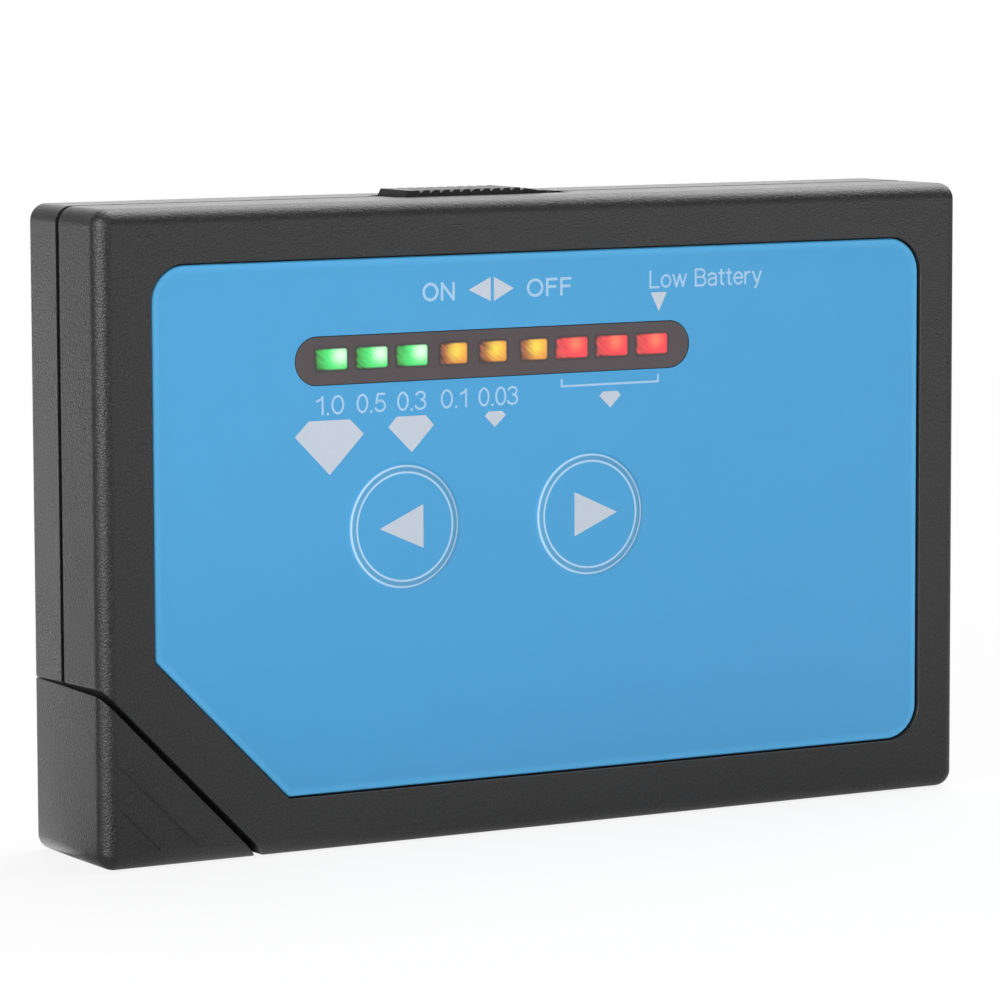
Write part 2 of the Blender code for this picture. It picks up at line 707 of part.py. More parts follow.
def make_back_shell(shared):
    rim_y = PARTING_Y + GAP / 2
    shell = rounded_block(
        "back_shell",
        (LEFT_X, rim_y, 0),
        (RIGHT_X, BACK_Y, CASE_HEIGHT),
        CORNER_RADIUS,
        back=BACK_EDGE_RADIUS,
        into=parts,
    )
    cut(shell, shared["cap_side"])
    fuse(shell, spigot("back_spigot", rim_y, BACK_Y - CAP_WALL - GAP, shared))
    cut(shell, cavity("back_cavity", PARTING_Y - OVERRUN, INNER_BACK_Y, shared))
    for index, (x, z) in enumerate(screw_places()):
        fuse(shell, cylinder("post_%d" % index, x, z, BOSS_RADIUS, rim_y, INNER_BACK_Y + WALL / 4))
    groove_y = PARTING_Y + LIP_HEIGHT + GAP
    groove = lip_block(
        "lip_groove", LIP_INSET - GAP, PARTING_Y - OVERRUN, groove_y, "lip_groove_side", shared
    )
    cut(shell, groove)
    for index, (x, z) in enumerate(screw_places()):
        shank = SCREW_RADIUS + GAP
        head = SCREW_HEAD_RADIUS + GAP
        cut(
            shell,
            cylinder("shank_hole_%d" % index, x, z, shank, PARTING_Y - OVERRUN, BACK_Y, SMALL_SIDES),
            cylinder("head_hole_%d" % index, x, z, head, screw_seat_y(), BACK_Y + OVERRUN),
        )
    cut(shell, shared["switch_slot"], shared["probe_bore"])
    cut(shell, door_solid("door_opening", GAP, tools), door_tongue("door_tongue_groove", GAP))
    return finish(shell, BLACK_PLASTIC, 0.55)


def door_solid(name, grow, into):
    """Dovetailed slab in the plane of the back wall, open to the right; grow widens it all round."""
    left = BAY_LEFT_X + GAP - grow
    right = RIGHT_X + grow * OVERRUN / GAP
    inner = DOOR_MARGIN - grow
    outer = inner + DOOR_DOVETAIL
    front = INNER_BACK_Y - grow
    back = BACK_Y + grow * OVERRUN / GAP
    rise = (outer - inner) * (back - front) / WALL
    middle = CASE_HEIGHT / 2
    bm = bmesh.new()
    section = [
        (front, inner - middle),
        (front, middle - inner),
        (back, middle - inner - rise),
        (back, inner + rise - middle),
    ]
    face = bm.faces.new([bm.verts.new((left, y, z)) for y, z in section])
    drawn = bmesh.ops.extrude_face_region(bm, geom=[face])
    moved = [v for v in drawn["geom"] if isinstance(v, bmesh.types.BMVert)]
    bmesh.ops.translate(bm, vec=(right - left, 0, 0), verts=moved)
    bmesh.ops.recalc_face_normals(bm, faces=bm.faces)
    return place(name, bm, (0, 0, middle), into)


def door_tongue(name, grow):
    """Tongue that holds the door's left end under the back wall."""
    return block(
        name,
        (BAY_LEFT_X + GAP - DOOR_TONGUE - grow, INNER_BACK_Y - grow, DOOR_MARGIN + DOOR_DOVETAIL - grow),
        (
            BAY_LEFT_X + GAP + OVERRUN,
            INNER_BACK_Y + DOOR_TONGUE_THICKNESS + grow,
            CASE_HEIGHT - DOOR_MARGIN - DOOR_DOVETAIL + grow,
        ),
    )


def make_battery_door():
    door = door_solid("battery_door", 0, parts)
    fuse(door, door_tongue("door_tongue", 0))
    outer = rounded_block(
        "door_outer",
        (LEFT_X, FRONT_Y, 0),
        (RIGHT_X, BACK_Y, CASE_HEIGHT),
        CORNER_RADIUS,
        back=BACK_EDGE_RADIUS,
    )
    keep(door, outer)
    for index in range(DOOR_GROOVES):
        x = RIGHT_X - DOOR_GROOVE_FIRST - index * DOOR_GROOVE_PITCH
        middle = CASE_HEIGHT / 2
        cut(
            door,
            block(
                "door_groove_%d" % index,
                (x - DOOR_GROOVE_WIDTH / 2, BACK_Y - DOOR_GROOVE_DEPTH, middle - DOOR_GROOVE_LENGTH / 2),
                (x + DOOR_GROOVE_WIDTH / 2, BACK_Y + OVERRUN, middle + DOOR_GROOVE_LENGTH / 2),
            ),
        )
    return finish(door, BLACK_PLASTIC, 0.55)


def grip_wedge(name, distance, face_y, side):
    """Sawtooth cut across the cap: a ramp that deepens away from the seam and ends in a step."""
    middle_x, _, middle_z = probe_point(distance)
    bm = bmesh.new()
    reach = SEAM_LEG
    profile = ((0, GRIP_DEPTH), (GRIP_RAMP, 0), (GRIP_RAMP, -OVERRUN), (0, -OVERRUN))
    face = bm.faces.new([bm.verts.new((across, -side * depth, -reach)) for across, depth in profile])
    drawn = bmesh.ops.extrude_face_region(bm, geom=[face])
    moved = [v for v in drawn["geom"] if isinstance(v, bmesh.types.BMVert)]
    bmesh.ops.translate(bm, vec=(0, 0, reach * 2), verts=moved)
    bmesh.ops.recalc_face_normals(bm, faces=bm.faces)
    wedge = place(name, bm, (middle_x, face_y, middle_z), tools)
    wedge.rotation_euler = (0, -math.pi / 4, 0)
    window = block(
        name + "_window",
        (LEFT_X + GRIP_MARGIN, face_y - OVERRUN * 2, GRIP_MARGIN),
        (LEFT_X + SEAM_LEG, face_y + OVERRUN * 2, SEAM_LEG),
    )
    keep(wedge, window)
    return wedge


def make_corner_cap():
    cap = rounded_block(
        "corner_cap",
        (LEFT_X, FRONT_Y, 0),
        (LEFT_X + SEAM_LEG * 3, BACK_Y, SEAM_LEG * 3),
        CORNER_RADIUS,
        front=FRONT_EDGE_RADIUS,
        back=BACK_EDGE_RADIUS,
        into=parts,
    )
    case_side = diagonal_block(
        "case_side",
        SEAM_SUM - GAP / 2 * ROOT_TWO,
        RIGHT_X + CASE_HEIGHT,
        FRONT_Y - OVERRUN,
        BACK_Y + OVERRUN,
    )
    hollow = rounded_block(
        "cap_cavity",
        (LEFT_X + CAP_WALL, FRONT_Y + CAP_WALL, CAP_WALL),
        (LEFT_X + SEAM_LEG * 3, BACK_Y - CAP_WALL, SEAM_LEG * 3),
        max(CORNER_RADIUS - CAP_WALL, GAP),
    )
    cut(cap, case_side, hollow)
    for index in range(GRIP_STEPS):
        distance = GRIP_FIRST + index * GRIP_PITCH
        cut(
            cap,
            grip_wedge("front_grip_%d" % index, distance, FRONT_Y, -1),
            grip_wedge("back_grip_%d" % index, distance, BACK_Y, 1),
        )
    return finish(cap, BLACK_PLASTIC, 0.55)


def make_overlay():
    holes = [ring(x, KEY_Z, KEY_RADIUS + GAP, 32) for x in KEY_XS]
    strip = stadium(LED_ROW_X, LED_ROW_Z, STRIP_LENGTH + 2 * GAP, STRIP_HEIGHT + 2 * GAP)
    outlines = [overlay_outline(0), strip, *holes]
    finish(plate("overlay_panel", outlines, FILM_FRONT_Y, FILM_BACK_Y), PANEL_BLUE, 0.45)
    lens = [stadium(LED_ROW_X, LED_ROW_Z, STRIP_LENGTH, STRIP_HEIGHT)]
    window = plate("window_strip", lens, FILM_FRONT_Y, FILM_FRONT_Y + STRIP_THICKNESS)
    finish(window, SMOKED, 0.25)


def make_leds():
    front = INNER_FRONT_Y + GAP + GAP
    cells = [rectangle(led_x(i), LED_ROW_Z, LED_WIDTH + 2 * GAP, LED_HEIGHT + 2 * GAP) for i in range(LED_COUNT)]
    length = (LED_COUNT - 1) * LED_PITCH + LED_WIDTH + 2 * GAP + 2 * BAFFLE_MARGIN
    height = LED_HEIGHT + 2 * GAP + 2 * BAFFLE_MARGIN
    frame = rectangle(LED_ROW_X, LED_ROW_Z, length, height)
    baffle = plate("light_baffle", [frame, *cells], INNER_FRONT_Y + GAP, BOARD_FRONT_Y - GAP)
    finish(baffle, DARK_RESIN, 0.6)
    per_colour = LED_COUNT // len(LED_COLOURS)
    for index in range(LED_COUNT):
        colour_name, colour = LED_COLOURS[min(index // per_colour, len(LED_COLOURS) - 1)]
        name = "%s_led_%d" % (colour_name, index % per_colour + 1)
        x = led_x(index)
        back = front + LED_LENGTH
        led = block(
            name,
            (x - LED_WIDTH / 2, front, LED_ROW_Z - LED_HEIGHT / 2),
            (x + LED_WIDTH / 2, back, LED_ROW_Z + LED_HEIGHT / 2),
            parts,
        )
        for side in (-1, 1):
            centre = x + side * LED_LEG_SPREAD / 2
            leg = block(
                "%s_leg_%d" % (name, side + 1),
                (centre - LED_LEG / 2, back - LED_LEG, LED_ROW_Z - LED_LEG / 2),
                (centre + LED_LEG / 2, BOARD_BACK_Y + LED_LEG, LED_ROW_Z + LED_LEG / 2),
            )
            fuse(led, leg)
        finish(led, colour, 0.3)


def make_board():
    cut_sum = SEAM_SUM + (HOLDER_REAR + BOARD_CLEAR) * ROOT_TWO
    outline = [
        (BOARD_LEFT_X, cut_sum - BOARD_LEFT_X),
        (cut_sum - BOARD_LOW_Z, BOARD_LOW_Z),
        (BOARD_RIGHT_X, BOARD_LOW_Z),
        (BOARD_RIGHT_X, BOARD_HIGH_Z),
        (BOARD_LEFT_X, BOARD_HIGH_Z),
    ]
    leg_hole = LED_LEG + 2 * GAP
    holes = [
        rectangle(led_x(i) + side * LED_LEG_SPREAD / 2, LED_ROW_Z, leg_hole, leg_hole)
        for i in range(LED_COUNT)
        for side in (-1, 1)
    ]
    holes += [ring(x, z, BOARD_SCREW_RADIUS + GAP, SMALL_SIDES) for x, z in STANDOFF_PLACES]
    board = plate("main_board", [outline, *holes], BOARD_FRONT_Y, BOARD_BACK_Y)
    finish(board, BOARD_GREEN, 0.45)


def make_board_pieces():
    seat = BOARD_BACK_Y + GAP
    amplifier = probe_point(PROBE_LEAD_END_OUT - AMPLIFIER_BEHIND, AMPLIFIER_ASIDE)
    for name, (x, z), (width, depth, height) in (
        ("controller_chip", board_place(CONTROLLER_SHARES), CONTROLLER_SIZE),
        ("amplifier_chip", (amplifier[0], amplifier[2]), AMPLIFIER_SIZE),
    ):
        chip = block(
            name,
            (x - width / 2, seat, z - height / 2),
            (x + width / 2, seat + depth, z + height / 2),
            parts,
        )
        bevel = chip.modifiers.new("edges", "BEVEL")
        bevel.width = CHIP_CHAMFER
        bevel.segments = 1
        finish(chip, DARK_RESIN, 0.5)
    x, z = board_place(CAPACITOR_SHARES)
    height, radius, groove = CAPACITOR_HEIGHT, CAPACITOR_RADIUS, CAPACITOR_GROOVE
    capacitor = turned(
        "capacitor",
        (
            (0, height),
            (radius - groove, height),
            (radius, height - groove),
            (radius, groove * 6),
            (radius - groove, groove * 5),
            (radius - groove, groove * 4),
            (radius, groove * 3),
            (radius, 0),
            (0, 0),
        ),
        (x, seat, z),
        (-math.pi / 2, 0, 0),
    )
    finish(capacitor, (0.12, 0.16, 0.35), 0.4)
    x, z = board_place(TRIMMER_SHARES)
    half = TRIMMER_SIDE / 2
    face = seat + TRIMMER_HEIGHT
    trimmer = block("trimmer", (x - half, seat, z - half), (x + half, face, z + half), parts)
    rotor = cylinder(
        "trimmer_rotor", x, z, TRIMMER_ROTOR_RADIUS, face - OVERRUN, face + TRIMMER_ROTOR_DEPTH, SMALL_SIDES
    )
    slot = block(
        "trimmer_slot",
        (x - TRIMMER_ROTOR_RADIUS * 2, face + TRIMMER_ROTOR_DEPTH / 2, z - TRIMMER_SLOT / 2),
        (x + TRIMMER_ROTOR_RADIUS * 2, face + TRIMMER_ROTOR_DEPTH + OVERRUN, z + TRIMMER_SLOT / 2),
    )
    fuse(trimmer, rotor)
    cut(trimmer, slot)
    finish(trimmer, (0.15, 0.35, 0.70), 0.4)
    x, z = board_place(BUZZER_SHARES)
    hole, deep, wide, tall = BUZZER_HOLE_RADIUS, BUZZER_HOLE_DEPTH, BUZZER_RADIUS, BUZZER_HEIGHT
    buzzer = turned(
        "buzzer",
        ((0, tall - deep), (hole, tall - deep), (hole, tall), (wide, tall), (wide, 0), (0, 0)),
        (x, seat, z),
        (-math.pi / 2, 0, 0),
    )
    finish(buzzer, DARK_RESIN, 0.5)


def make_keys():
    for side, x in zip(("left", "right"), KEY_XS):
        dome_y = FILM_FRONT_Y
        front = dome_y - KEY_RISE
        # Heights run forwards from the film's back, along the dome's own axis
        thick = OVERLAY_THICKNESS
        dome = turned(
            side + "_key_dome",
            (
                (0, thick + KEY_RISE),
                (KEY_PLATEAU_RADIUS, thick + KEY_RISE),
                (KEY_RADIUS, thick),
                (KEY_RADIUS, 0),
                (KEY_POST_RADIUS, 0),
                (KEY_POST_RADIUS, -KEY_POST_LENGTH),
                (0, -KEY_POST_LENGTH),
            ),
            (x, FILM_BACK_Y, KEY_Z),
            (math.pi / 2, 0, 0),
            32,
        )
        finish(dome, PANEL_BLUE, 0.45)
        post_end = FILM_BACK_Y + KEY_POST_LENGTH
        body_back = BOARD_FRONT_Y - GAP
        body_front = body_back - TACT_HEIGHT
        stem_front = post_end + GAP
        stem_back = body_front + TACT_STEM_DEPTH
        half = TACT_SIDE / 2
        body = block(
            side + "_tact_switch",
            (x - half, body_front, KEY_Z - half),
            (x + half, body_back, KEY_Z + half),
            parts,
        )
        bore_back = stem_back + KEY_TRAVEL + GAP
        bore_radius = TACT_STEM_RADIUS + GAP
        bore = cylinder(
            side + "_stem_bore", x, KEY_Z, bore_radius, body_front - OVERRUN, bore_back, SMALL_SIDES
        )
        cut(body, bore)
        finish(body, STEEL, 0.35, 0.8)
        stem = cylinder(
            side + "_tact_stem", x, KEY_Z, TACT_STEM_RADIUS, stem_front, stem_back, SMALL_SIDES, parts
        )
        finish(stem, DARK_RESIN, 0.5)
        joint = empty(side + "_key_slide", (x, front, KEY_Z))
        ride(joint, dome, stem)


def empty(name, location):
    """Marks a joint's place; the pieces that move with it are its children."""
    obj = bpy.data.objects.new(name, None)
    obj.location = location
    parts.objects.link(obj)
    return obj


def ride(joint, *pieces):
    for piece in pieces:
        piece.parent = joint
        piece.matrix_parent_inverse = Matrix.Translation(joint.location).inverted()


def knob_profile():
    """Side view of the knob above its flange: level top, sawtooth ribs and a sloped right end."""
    left, right = KNOB_LEFT_X, KNOB_RIGHT_X
    top = CASE_HEIGHT + KNOB_RISE
    foot = TOP_INNER_Z - GAP - FLANGE_THICKNESS / 2
    slope_x = right - KNOB_END_SLOPE

    def height(x):
        return top - KNOB_END_DROP * max(x - slope_x, 0) / KNOB_END_SLOPE

    points = [(left, foot), (left, top - KNOB_LEFT_BEVEL * 2), (left + KNOB_LEFT_BEVEL, top)]
    for index in range(RIB_COUNT):
        x = left + RIB_FIRST + index * RIB_PITCH
        points.append((x - RIB_WIDTH / 2, height(x - RIB_WIDTH / 2)))
        points.append((x - RIB_WIDTH / 4, height(x) - RIB_DEPTH))
        points.append((x + RIB_WIDTH / 2, height(x + RIB_WIDTH / 2)))
    points += [(right, height(right)), (right, foot)]
    return points[::-1]


def make_power_switch():
    half = SLOT_WIDTH / 2 - GAP
    knob = plate("power_knob", [knob_profile()], PARTING_Y - half, PARTING_Y + half)
    flange_top = TOP_INNER_Z - GAP
    flange_low = flange_top - FLANGE_THICKNESS
    flange = block(
        "knob_flange",
        (KNOB_LEFT_X - FLANGE_OVERHANG, PARTING_Y - half - FLANGE_SIDE, flange_low),
        (KNOB_RIGHT_X + FLANGE_OVERHANG, PARTING_Y + half + FLANGE_SIDE, flange_top),
    )
    fork_low = flange_low - FORK_LENGTH
    fork = block(
        "knob_fork",
        (KNOB_CENTRE_X - FORK_SIDE / 2, PARTING_Y - FORK_SIDE / 2, fork_low),
        (KNOB_CENTRE_X + FORK_SIDE / 2, PARTING_Y + FORK_SIDE / 2, flange_low + FLANGE_THICKNESS / 2),
    )
    lever_half = LEVER_SIDE / 2
    lever_top = flange_low + FLANGE_THICKNESS / 3
    pocket = block(
        "fork_pocket",
        (KNOB_CENTRE_X - lever_half - GAP, PARTING_Y - lever_half - GAP, fork_low - OVERRUN),
        (KNOB_CENTRE_X + lever_half + GAP, PARTING_Y + lever_half + GAP, lever_top + GAP),
    )
    fuse(knob, flange, fork)
    cut(knob, pocket)
    finish(knob, BLACK_PLASTIC, 0.5)

    lever_low = SWITCH_TOP_Z - SWITCH_SLOT_DEPTH + GAP
    lever = block(
        "switch_lever",
        (KNOB_CENTRE_X - lever_half, PARTING_Y - lever_half, lever_low),
        (KNOB_CENTRE_X + lever_half, PARTING_Y + lever_half, lever_top),
        parts,
    )
    finish(lever, DARK_RESIN, 0.5)
    body_x = KNOB_CENTRE_X + SWITCH_TRAVEL / 2
    seat = BOARD_BACK_Y + GAP
    body = block(
        "switch_body",
        (body_x - SWITCH_LENGTH / 2, seat, SWITCH_TOP_Z - SWITCH_HEIGHT),
        (body_x + SWITCH_LENGTH / 2, seat + SWITCH_DEPTH, SWITCH_TOP_Z),
        parts,
    )
    run = SWITCH_TRAVEL / 2 + lever_half + GAP
    slot = block(
        "lever_slot",
        (body_x - run, PARTING_Y - lever_half - GAP, SWITCH_TOP_Z - SWITCH_SLOT_DEPTH),
        (body_x + run, PARTING_Y + lever_half + GAP, SWITCH_TOP_Z + OVERRUN),
    )
    cut(body, slot)
    finish(body, STEEL, 0.3, 0.9)
    joint = empty("power_slide", (KNOB_CENTRE_X, PARTING_Y, CASE_HEIGHT))
    ride(joint, knob, lever)


def screw_seat_y():
    return BACK_Y - SCREW_SEAT - SCREW_HEAD_HEIGHT


def screw_tip_y():
    return screw_seat_y() - SCREW_LENGTH


def board_screw_seat_y():
    return BOARD_BACK_Y + GAP


def board_screw_tip_y():
    return board_screw_seat_y() - BOARD_SCREW_LENGTH


def screw(name, x, z, seat_y, radius, length, head_radius, head_height):
    """A pan-head screw with a pointed end, head to the back; seat_y is under its head."""
    piece = turned(
        name,
        (
            (0, head_height),
            (head_radius * 3 / 4, head_height),
            (head_radius, head_height / 2),
            (head_radius, GAP),
            (radius, GAP),
            (radius, radius - length),
            (0, -length),
        ),
        (x, seat_y, z),
        (-math.pi / 2, 0, 0),
        SMALL_SIDES,
    )
    finish(piece, STEEL, 0.3, 1.0)


def make_screws():
    for index, (x, z) in enumerate(screw_places()):
        screw(
            "case_screw_%d" % (index + 1),
            x,
            z,
            screw_seat_y(),
            SCREW_RADIUS,
            SCREW_LENGTH,
            SCREW_HEAD_RADIUS,
            SCREW_HEAD_HEIGHT,
        )
    for index, (x, z) in enumerate(STANDOFF_PLACES):
        screw(
            "board_screw_%d" % (index + 1),
            x,
            z,
            board_screw_seat_y(),
            BOARD_SCREW_RADIUS,
            BOARD_SCREW_LENGTH,
            BOARD_SCREW_HEAD_RADIUS,
            BOARD_SCREW_HEAD_HEIGHT,
        )


def coil_points(turns, low, high, radius_low, radius_high, to_world, per_turn=10):
    """Points along a coil that climbs steadily, from one radius to another."""
    count = turns * per_turn
    points = []
    for i in range(count + 1):
        share = i / count
        angle = math.tau * turns * share
        radius = radius_low + (radius_high - radius_low) * share
        height = low + (high - low) * share
        points.append(to_world(radius * math.cos(angle), radius * math.sin(angle), height))
    return points


def cell_xs():
    return BAY_CENTRE_X - CELL_PITCH / 2, BAY_CENTRE_X + CELL_PITCH / 2


def make_cells():
    """Two cells head to tail; each nub faces a flat contact and each flat end faces a spring."""
    high_seat = CASE_HEIGHT - CELL_SEAT_Z
    tall, nub, edge = CELL_LENGTH - CELL_NUB_HEIGHT, CELL_NUB_RADIUS, CELL_EDGE
    profile = (
        (0, CELL_LENGTH),
        (nub, CELL_LENGTH),
        (nub, tall - edge),
        (CELL_RADIUS - edge * 2, tall - edge),
        (CELL_RADIUS - edge, tall),
        (CELL_RADIUS, tall - edge),
        (CELL_RADIUS, edge),
        (CELL_RADIUS - edge, 0),
        (0, 0),
    )
    left_x, right_x = cell_xs()
    up = turned("left_cell", profile, (left_x, CELL_Y, high_seat - CELL_LENGTH))
    down = turned("right_cell", profile, (right_x, CELL_Y, CELL_SEAT_Z + CELL_LENGTH), (math.pi, 0, 0))
    for cell in (up, down):
        finish(cell, (0.30, 0.31, 0.33), 0.35, 0.3)


def make_contacts():
    half = CONTACT_SIDE / 2
    left_x, right_x = cell_xs()
    low_top = CONTACT_LOW_Z + CONTACT_THICKNESS
    high_low = CONTACT_HIGH_Z - CONTACT_THICKNESS
    back = CELL_Y + half
    for name, x in (("minus_contact", left_x), ("plus_contact", right_x)):
        tab = block(name, (x - half, CELL_Y - half, CONTACT_LOW_Z), (x + half, back, low_top), parts)
        ear = block(
            name + "_ear",
            (x - CONTACT_EAR_WIDTH / 2, back - CONTACT_THICKNESS, CONTACT_LOW_Z - CONTACT_EAR_LENGTH),
            (x + CONTACT_EAR_WIDTH / 2, back, low_top),
        )
        fuse(tab, ear)
        finish(tab, STEEL, 0.3, 1.0)
    bridge = block(
        "bridge_contact",
        (left_x - half, CELL_Y - half, high_low),
        (right_x + half, back, CONTACT_HIGH_Z),
        parts,
    )
    finish(bridge, STEEL, 0.3, 1.0)
    wire = BATTERY_SPRING_WIRE
    reach = BATTERY_SPRING_HEIGHT - 2 * wire
    for name, x, foot, way in (
        ("minus_spring", left_x, low_top + GAP + wire, 1),
        ("bridge_spring", right_x, high_low - GAP - wire, -1),
    ):
        points = coil_points(
            BATTERY_SPRING_TURNS,
            0,
            reach,
            BATTERY_SPRING_BASE_RADIUS,
            BATTERY_SPRING_TOP_RADIUS,
            lambda a, b, c, x=x, foot=foot, way=way: (x + a, CELL_Y + b, foot + way * c),
        )
        finish(tube(name, points, wire), STEEL, 0.3, 1.0)


def smooth_route(corners, rounds=3):
    """Rounds a route by cutting its corners again and again, with both ends kept."""
    points = [Vector(c) for c in corners]
    for _ in range(rounds):
        cut_points = [points[0]]
        for first, second in zip(points, points[1:]):
            cut_points += [first * 3 / 4 + second / 4, first / 4 + second * 3 / 4]
        points = cut_points + [points[-1]]
    return points


def make_leads():
    """Battery leads from the contacts' ears to the board, and the two fine leads of the probe."""
    left_x, right_x = cell_xs()
    half = CONTACT_SIDE / 2
    room = LEAD_RADIUS + GAP
    ear_z = CONTACT_LOW_Z - CONTACT_EAR_LENGTH + LEAD_RADIUS
    pad_y = BOARD_BACK_Y + room
    for name, x, behind, pad_x, colour in (
        ("minus_lead", left_x, 0, BAY_LEFT_X - 4 * room, (0.05, 0.05, 0.05)),
        ("plus_lead", right_x, 5 * LEAD_RADIUS, BAY_LEFT_X - 2 * room, (0.65, 0.08, 0.08)),
    ):
        start_x = x - CONTACT_EAR_WIDTH / 2 - GAP
        run_y = CELL_Y + half - LEAD_RADIUS - behind
        route = [
            (start_x, CELL_Y + half - LEAD_RADIUS, ear_z),
            (start_x - 2 * room, CELL_Y + half - LEAD_RADIUS, ear_z),
            (start_x - 5 * room, run_y, ear_z),
            (BAY_LEFT_X, run_y, ear_z),
            (pad_x, run_y, ear_z + room),
            (pad_x, pad_y + 2 * room, BOARD_LOW_Z),
            (pad_x, pad_y, BOARD_LOW_Z + 3 * room),
            (pad_x, pad_y, BOARD_LOW_Z + 6 * room),
        ]
        finish(tube(name, smooth_route(route, 2), LEAD_RADIUS), colour, 0.5)
    start = PROBE_LEAD_START_OUT
    quarter = PROBE_LEAD_LENGTH / 4
    thin = PROBE_LEAD_RADIUS + GAP
    for index, side in enumerate((-1, 1)):
        aside = side * thin
        low = BOARD_BACK_Y + thin - PARTING_Y
        route = [
            probe_point(start, aside),
            probe_point(start - quarter, aside),
            probe_point(start - 2 * quarter, 3 * aside, low / 2),
            probe_point(start - 3 * quarter, 5 * aside, low),
            probe_point(PROBE_LEAD_END_OUT, 5 * aside, low),
        ]
        colour = ((0.70, 0.55, 0.15), (0.75, 0.72, 0.65))[index]
        finish(tube("probe_lead_%d" % (index + 1), smooth_route(route, 2), PROBE_LEAD_RADIUS), colour, 0.5)


def make_probe():
    """The sprung pin in its metal sleeve, held by an insulating holder between the shells."""
    flange_front = -DIAGONAL_WALL - GAP
    flange_back = flange_front - HOLDER_FLANGE_THICKNESS
    bore_end = -HOLDER_REAR + HOLDER_END_WALL
    holder = turned(
        "probe_holder",
        (
            (SLEEVE_RADIUS + GAP, HOLDER_NOSE),
            (HOLDER_RADIUS, HOLDER_NOSE),
            (HOLDER_RADIUS, flange_front),
            (HOLDER_FLANGE_RADIUS, flange_front),
            (HOLDER_FLANGE_RADIUS, flange_back),
            (HOLDER_REAR_RADIUS, flange_back),
            (HOLDER_REAR_RADIUS, -HOLDER_REAR),
            (PIN_RADIUS + GAP, -HOLDER_REAR),
            (PIN_RADIUS + GAP, bore_end),
            (SLEEVE_RADIUS + GAP, bore_end),
        ),
        PROBE_BASE,
        PROBE_TURN,
    )
    finish(holder, (0.88, 0.86, 0.80), 0.5)
    sleeve_rear = bore_end + GAP
    sleeve = turned(
        "probe_sleeve",
        (
            (PIN_RADIUS + GAP, SLEEVE_TIP_OUT),
            (SLEEVE_TIP_RADIUS, SLEEVE_TIP_OUT),
            (SLEEVE_RADIUS, SLEEVE_SHOULDER_OUT),
            (SLEEVE_RADIUS, sleeve_rear),
            (SLEEVE_CHAMBER_RADIUS, sleeve_rear),
            (SLEEVE_CHAMBER_RADIUS, SLEEVE_CHAMBER_END),
            (PIN_RADIUS + GAP, SLEEVE_CHAMBER_END),
        ),
        PROBE_BASE,
        PROBE_TURN,
    )
    finish(sleeve, BRASS, 0.25, 1.0)
    collar_front = SLEEVE_CHAMBER_END - GAP
    collar_back = collar_front - PIN_COLLAR_LENGTH
    pin = turned(
        "probe_pin",
        (
            (0, PIN_TIP_OUT),
            (PIN_RADIUS / 2, PIN_TIP_OUT - PIN_RADIUS / 6),
            (PIN_RADIUS, PIN_TIP_OUT - PIN_RADIUS),
            (PIN_RADIUS, collar_front),
            (PIN_COLLAR_RADIUS, collar_front),
            (PIN_COLLAR_RADIUS, collar_back),
            (PIN_RADIUS, collar_back),
            (PIN_RADIUS, PIN_TAIL_OUT),
            (0, PIN_TAIL_OUT),
        ),
        PROBE_BASE,
        PROBE_TURN,
        SMALL_SIDES,
    )
    finish(pin, BRASS, 0.2, 1.0)
    bead = turned(
        "heater_bead",
        (
            (0, BEAD_FRONT_OUT),
            (BEAD_RADIUS, BEAD_FRONT_OUT),
            (BEAD_RADIUS, BEAD_FRONT_OUT - BEAD_LENGTH),
            (0, BEAD_FRONT_OUT - BEAD_LENGTH),
        ),
        PROBE_BASE,
        PROBE_TURN,
        SMALL_SIDES,
    )
    finish(bead, DARK_RESIN, 0.5)
    spring_front = collar_back - GAP - PROBE_SPRING_WIRE
    spring_back = bore_end + GAP + PROBE_SPRING_WIRE
    coil_radius = (PIN_RADIUS + SLEEVE_CHAMBER_RADIUS) / 2
    points = coil_points(
        PROBE_SPRING_TURNS,
        spring_back,
        spring_front,
        coil_radius,
        coil_radius,
        lambda a, b, c: probe_point(c, a, b),
    )
    finish(tube("probe_spring", points, PROBE_SPRING_WIRE), STEEL, 0.3, 1.0)
    joint = empty("probe_slide", probe_point(PIN_TIP_OUT))
    ride(joint, pin, bead)


shared_cutters = make_shared_cutters()
make_front_shell(shared_cutters)
make_back_shell(shared_cutters)
ride(empty("door_slide", (RIGHT_X, BACK_Y, CASE_HEIGHT / 2)), make_battery_door())
ride(empty("cap_slide", PROBE_BASE), make_corner_cap())
make_overlay()
make_leds()
make_board()
make_board_pieces()
make_keys()
make_power_switch()
make_screws()
make_cells()
make_contacts()
make_leads()
make_probe()
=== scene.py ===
"""Looks of a pocket thermal diamond tester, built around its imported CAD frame. Metres, +Z up, front to -Y."""

import math

import bmesh
import bpy
from mathutils import Euler, Matrix, Vector


